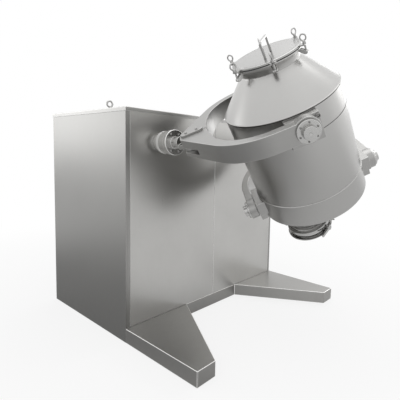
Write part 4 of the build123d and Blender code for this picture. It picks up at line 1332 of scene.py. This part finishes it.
@dataclass
class Studio:
    """The floor, the light and the camera at the photograph's place.

    Gloss sees the floor as a glowing painted reflection: darker painted shade close by (near_tone), lighter
    farther off (far_tone) and a painted highlight patch at the front right.
    """

    camera_place: tuple[float, float, float] = (-1.795, -2.218, 1.1168)
    azimuth: float = math.radians(51.2629)
    elevation: float = math.radians(-4.9409)
    roll: float = math.radians(1.6752)
    focal_pixels: float = 351.73
    centre_pixels: tuple[float, float] = (249.44, 183.524)
    picture_pixels: float = 400.0
    sensor_width: float = 36.0
    floor_size: float = 60.0
    floor_height: float = -0.0015
    floor_tone: Tone = (0.86, 0.86, 0.86)
    near_tone: Tone = (0.3, 0.3, 0.3)
    far_tone: Tone = (0.8, 0.8, 0.8)
    painted_highlight_tone: Tone = (0.8, 0.8, 0.8)
    patch_centre: tuple[float, float, float] = (0.8, -1.8, 0.0)
    patch_inner: float = 0.8
    patch_outer: float = 2.2
    camera_share: float = 0.8
    gloss_share: float = 0.85
    fade_start: float = 1.6
    fade_end: float = 3.4
    ambient: float = 0.8
    lamps: tuple[Lamp, ...] = (
        Lamp("key_right", (4.6, -3.2, 3.6), (0.0, -0.9, 0.9), 2.4, 26.0),
        Lamp("rim_right", (4.8, -0.4, 3.3), (0.2, -0.9, 1.1), 2.0, 20.0),
        Lamp("side_left", (-4.0, 6.7, 2.2), (-0.7, 0.0, 1.2), 2.4, 34.0),
        Lamp("top", (0.0, -0.6, 5.2), (0.0, -0.5, 0.0), 4.0, 52.0),
    )

    def build(self) -> None:
        """Make the floor, the world, the lamps and the camera."""
        self._floor()
        self._world()
        for lamp in self.lamps:
            lamp.hang()
        self._camera()
        bpy.context.scene.view_settings.view_transform = "Standard"

    def _floor(self) -> None:
        """Make the pale floor, which fades into the white surround away from the mixer; glossy rays see a
        glowing painted reflection instead of its lit tone.
        """
        bpy.ops.object.select_all(action="DESELECT")
        bpy.ops.mesh.primitive_plane_add(size=self.floor_size, location=(0, 0, self.floor_height))
        floor = bpy.context.active_object
        floor.name = "studio_floor"
        recipe = Recipe(bpy.data.materials.new("pale_floor"))
        place = recipe.place()
        distance = recipe.vector("LENGTH", place, output="Value")
        far = recipe.ramp(distance, self.fade_start, self.fade_end, True)
        spot = recipe.vector("DISTANCE", place, self.patch_centre, output="Value")
        patch = recipe.ramp(spot, self.patch_outer, self.patch_inner, True)
        # Painted reflection: an emission only glossy rays see, darker near the mixer as painted shade and
        # with a painted highlight patch at the front right.
        painted_reflection = recipe.blend(patch, recipe.blend(far, self.near_tone, self.far_tone), self.painted_highlight_tone)
        matte = recipe.node("ShaderNodeBsdfDiffuse", None, {"Color": (*self.floor_tone, 1.0)})
        white = recipe.node("ShaderNodeEmission", None, {"Color": (1.0, 1.0, 1.0, 1.0), "Strength": 1.0})
        soft = recipe.node("ShaderNodeEmission", None, {"Color": painted_reflection, "Strength": 1.0})
        share = (recipe.ray("Camera") + recipe.ray("Transmission")) * (
            self.camera_share + far * (1 - self.camera_share)
        )
        clear = recipe.node("ShaderNodeMixShader", None, {0: share, 1: matte, 2: white})
        gloss = recipe.ray("Glossy") * self.gloss_share
        recipe.close(recipe.node("ShaderNodeMixShader", None, {0: gloss, 1: clear, 2: soft}))
        floor.data.materials.append(recipe.owner)

    def _world(self) -> None:
        """Make a white surround for the camera and for gloss, and a softer one for matte light."""
        world = bpy.data.worlds.new("studio_world")
        bpy.context.scene.world = world
        recipe = Recipe(world)
        shown = recipe.ray("Camera") + recipe.ray("Glossy") + recipe.ray("Transmission")
        soft, clear = (
            recipe.node("ShaderNodeBackground", None, {"Color": (1.0, 1.0, 1.0, 1.0), "Strength": strength})
            for strength in (self.ambient, 1.0)
        )
        mixed = recipe.node("ShaderNodeMixShader", None, {0: shown, 1: soft, 2: clear})
        recipe.close(mixed, "ShaderNodeOutputWorld")

    def _camera(self) -> None:
        """Place the camera where the photograph was taken from."""
        data = bpy.data.cameras.new("photo_camera")
        camera = bpy.data.objects.new("photo_camera", data)
        bpy.context.scene.collection.objects.link(camera)
        bpy.context.scene.camera = camera
        data.sensor_width = self.sensor_width
        data.sensor_fit = "HORIZONTAL"
        data.lens = data.sensor_width * self.focal_pixels / self.picture_pixels
        middle = self.picture_pixels / 2
        data.shift_x = (middle - self.centre_pixels[0]) / self.picture_pixels
        data.shift_y = (self.centre_pixels[1] - middle) / self.picture_pixels
        forward = Vector((
            math.sin(self.azimuth) * math.cos(self.elevation),
            math.cos(self.azimuth) * math.cos(self.elevation),
            math.sin(self.elevation),
        ))
        right = forward.cross(Vector((0, 0, 1))).normalized()
        above = right.cross(forward)
        rolled_right = right * math.cos(self.roll) + above * math.sin(self.roll)
        rolled_above = above * math.cos(self.roll) - right * math.sin(self.roll)
        basis = Matrix((rolled_right, rolled_above, -forward)).transposed().to_4x4()
        camera.matrix_world = Matrix.Translation(self.camera_place) @ basis


def main() -> None:
    """Dress the mixer from the floor up and set the studio."""
    logging.basicConfig(level=logging.INFO, format="%(name)s: %(message)s")
    shop = Workshop()
    shop.dress_nodes()
    Cabinet(shop).build()
    Shafts(shop).build()
    Fork(shop, "upper", cover_radius=0.059).build()
    Fork(shop, "lower", cover_radius=0.054).build()
    Barrel(shop).build()
    Outlet(shop).build()
    Studio().build()


if __name__ == "__main__":
    main()
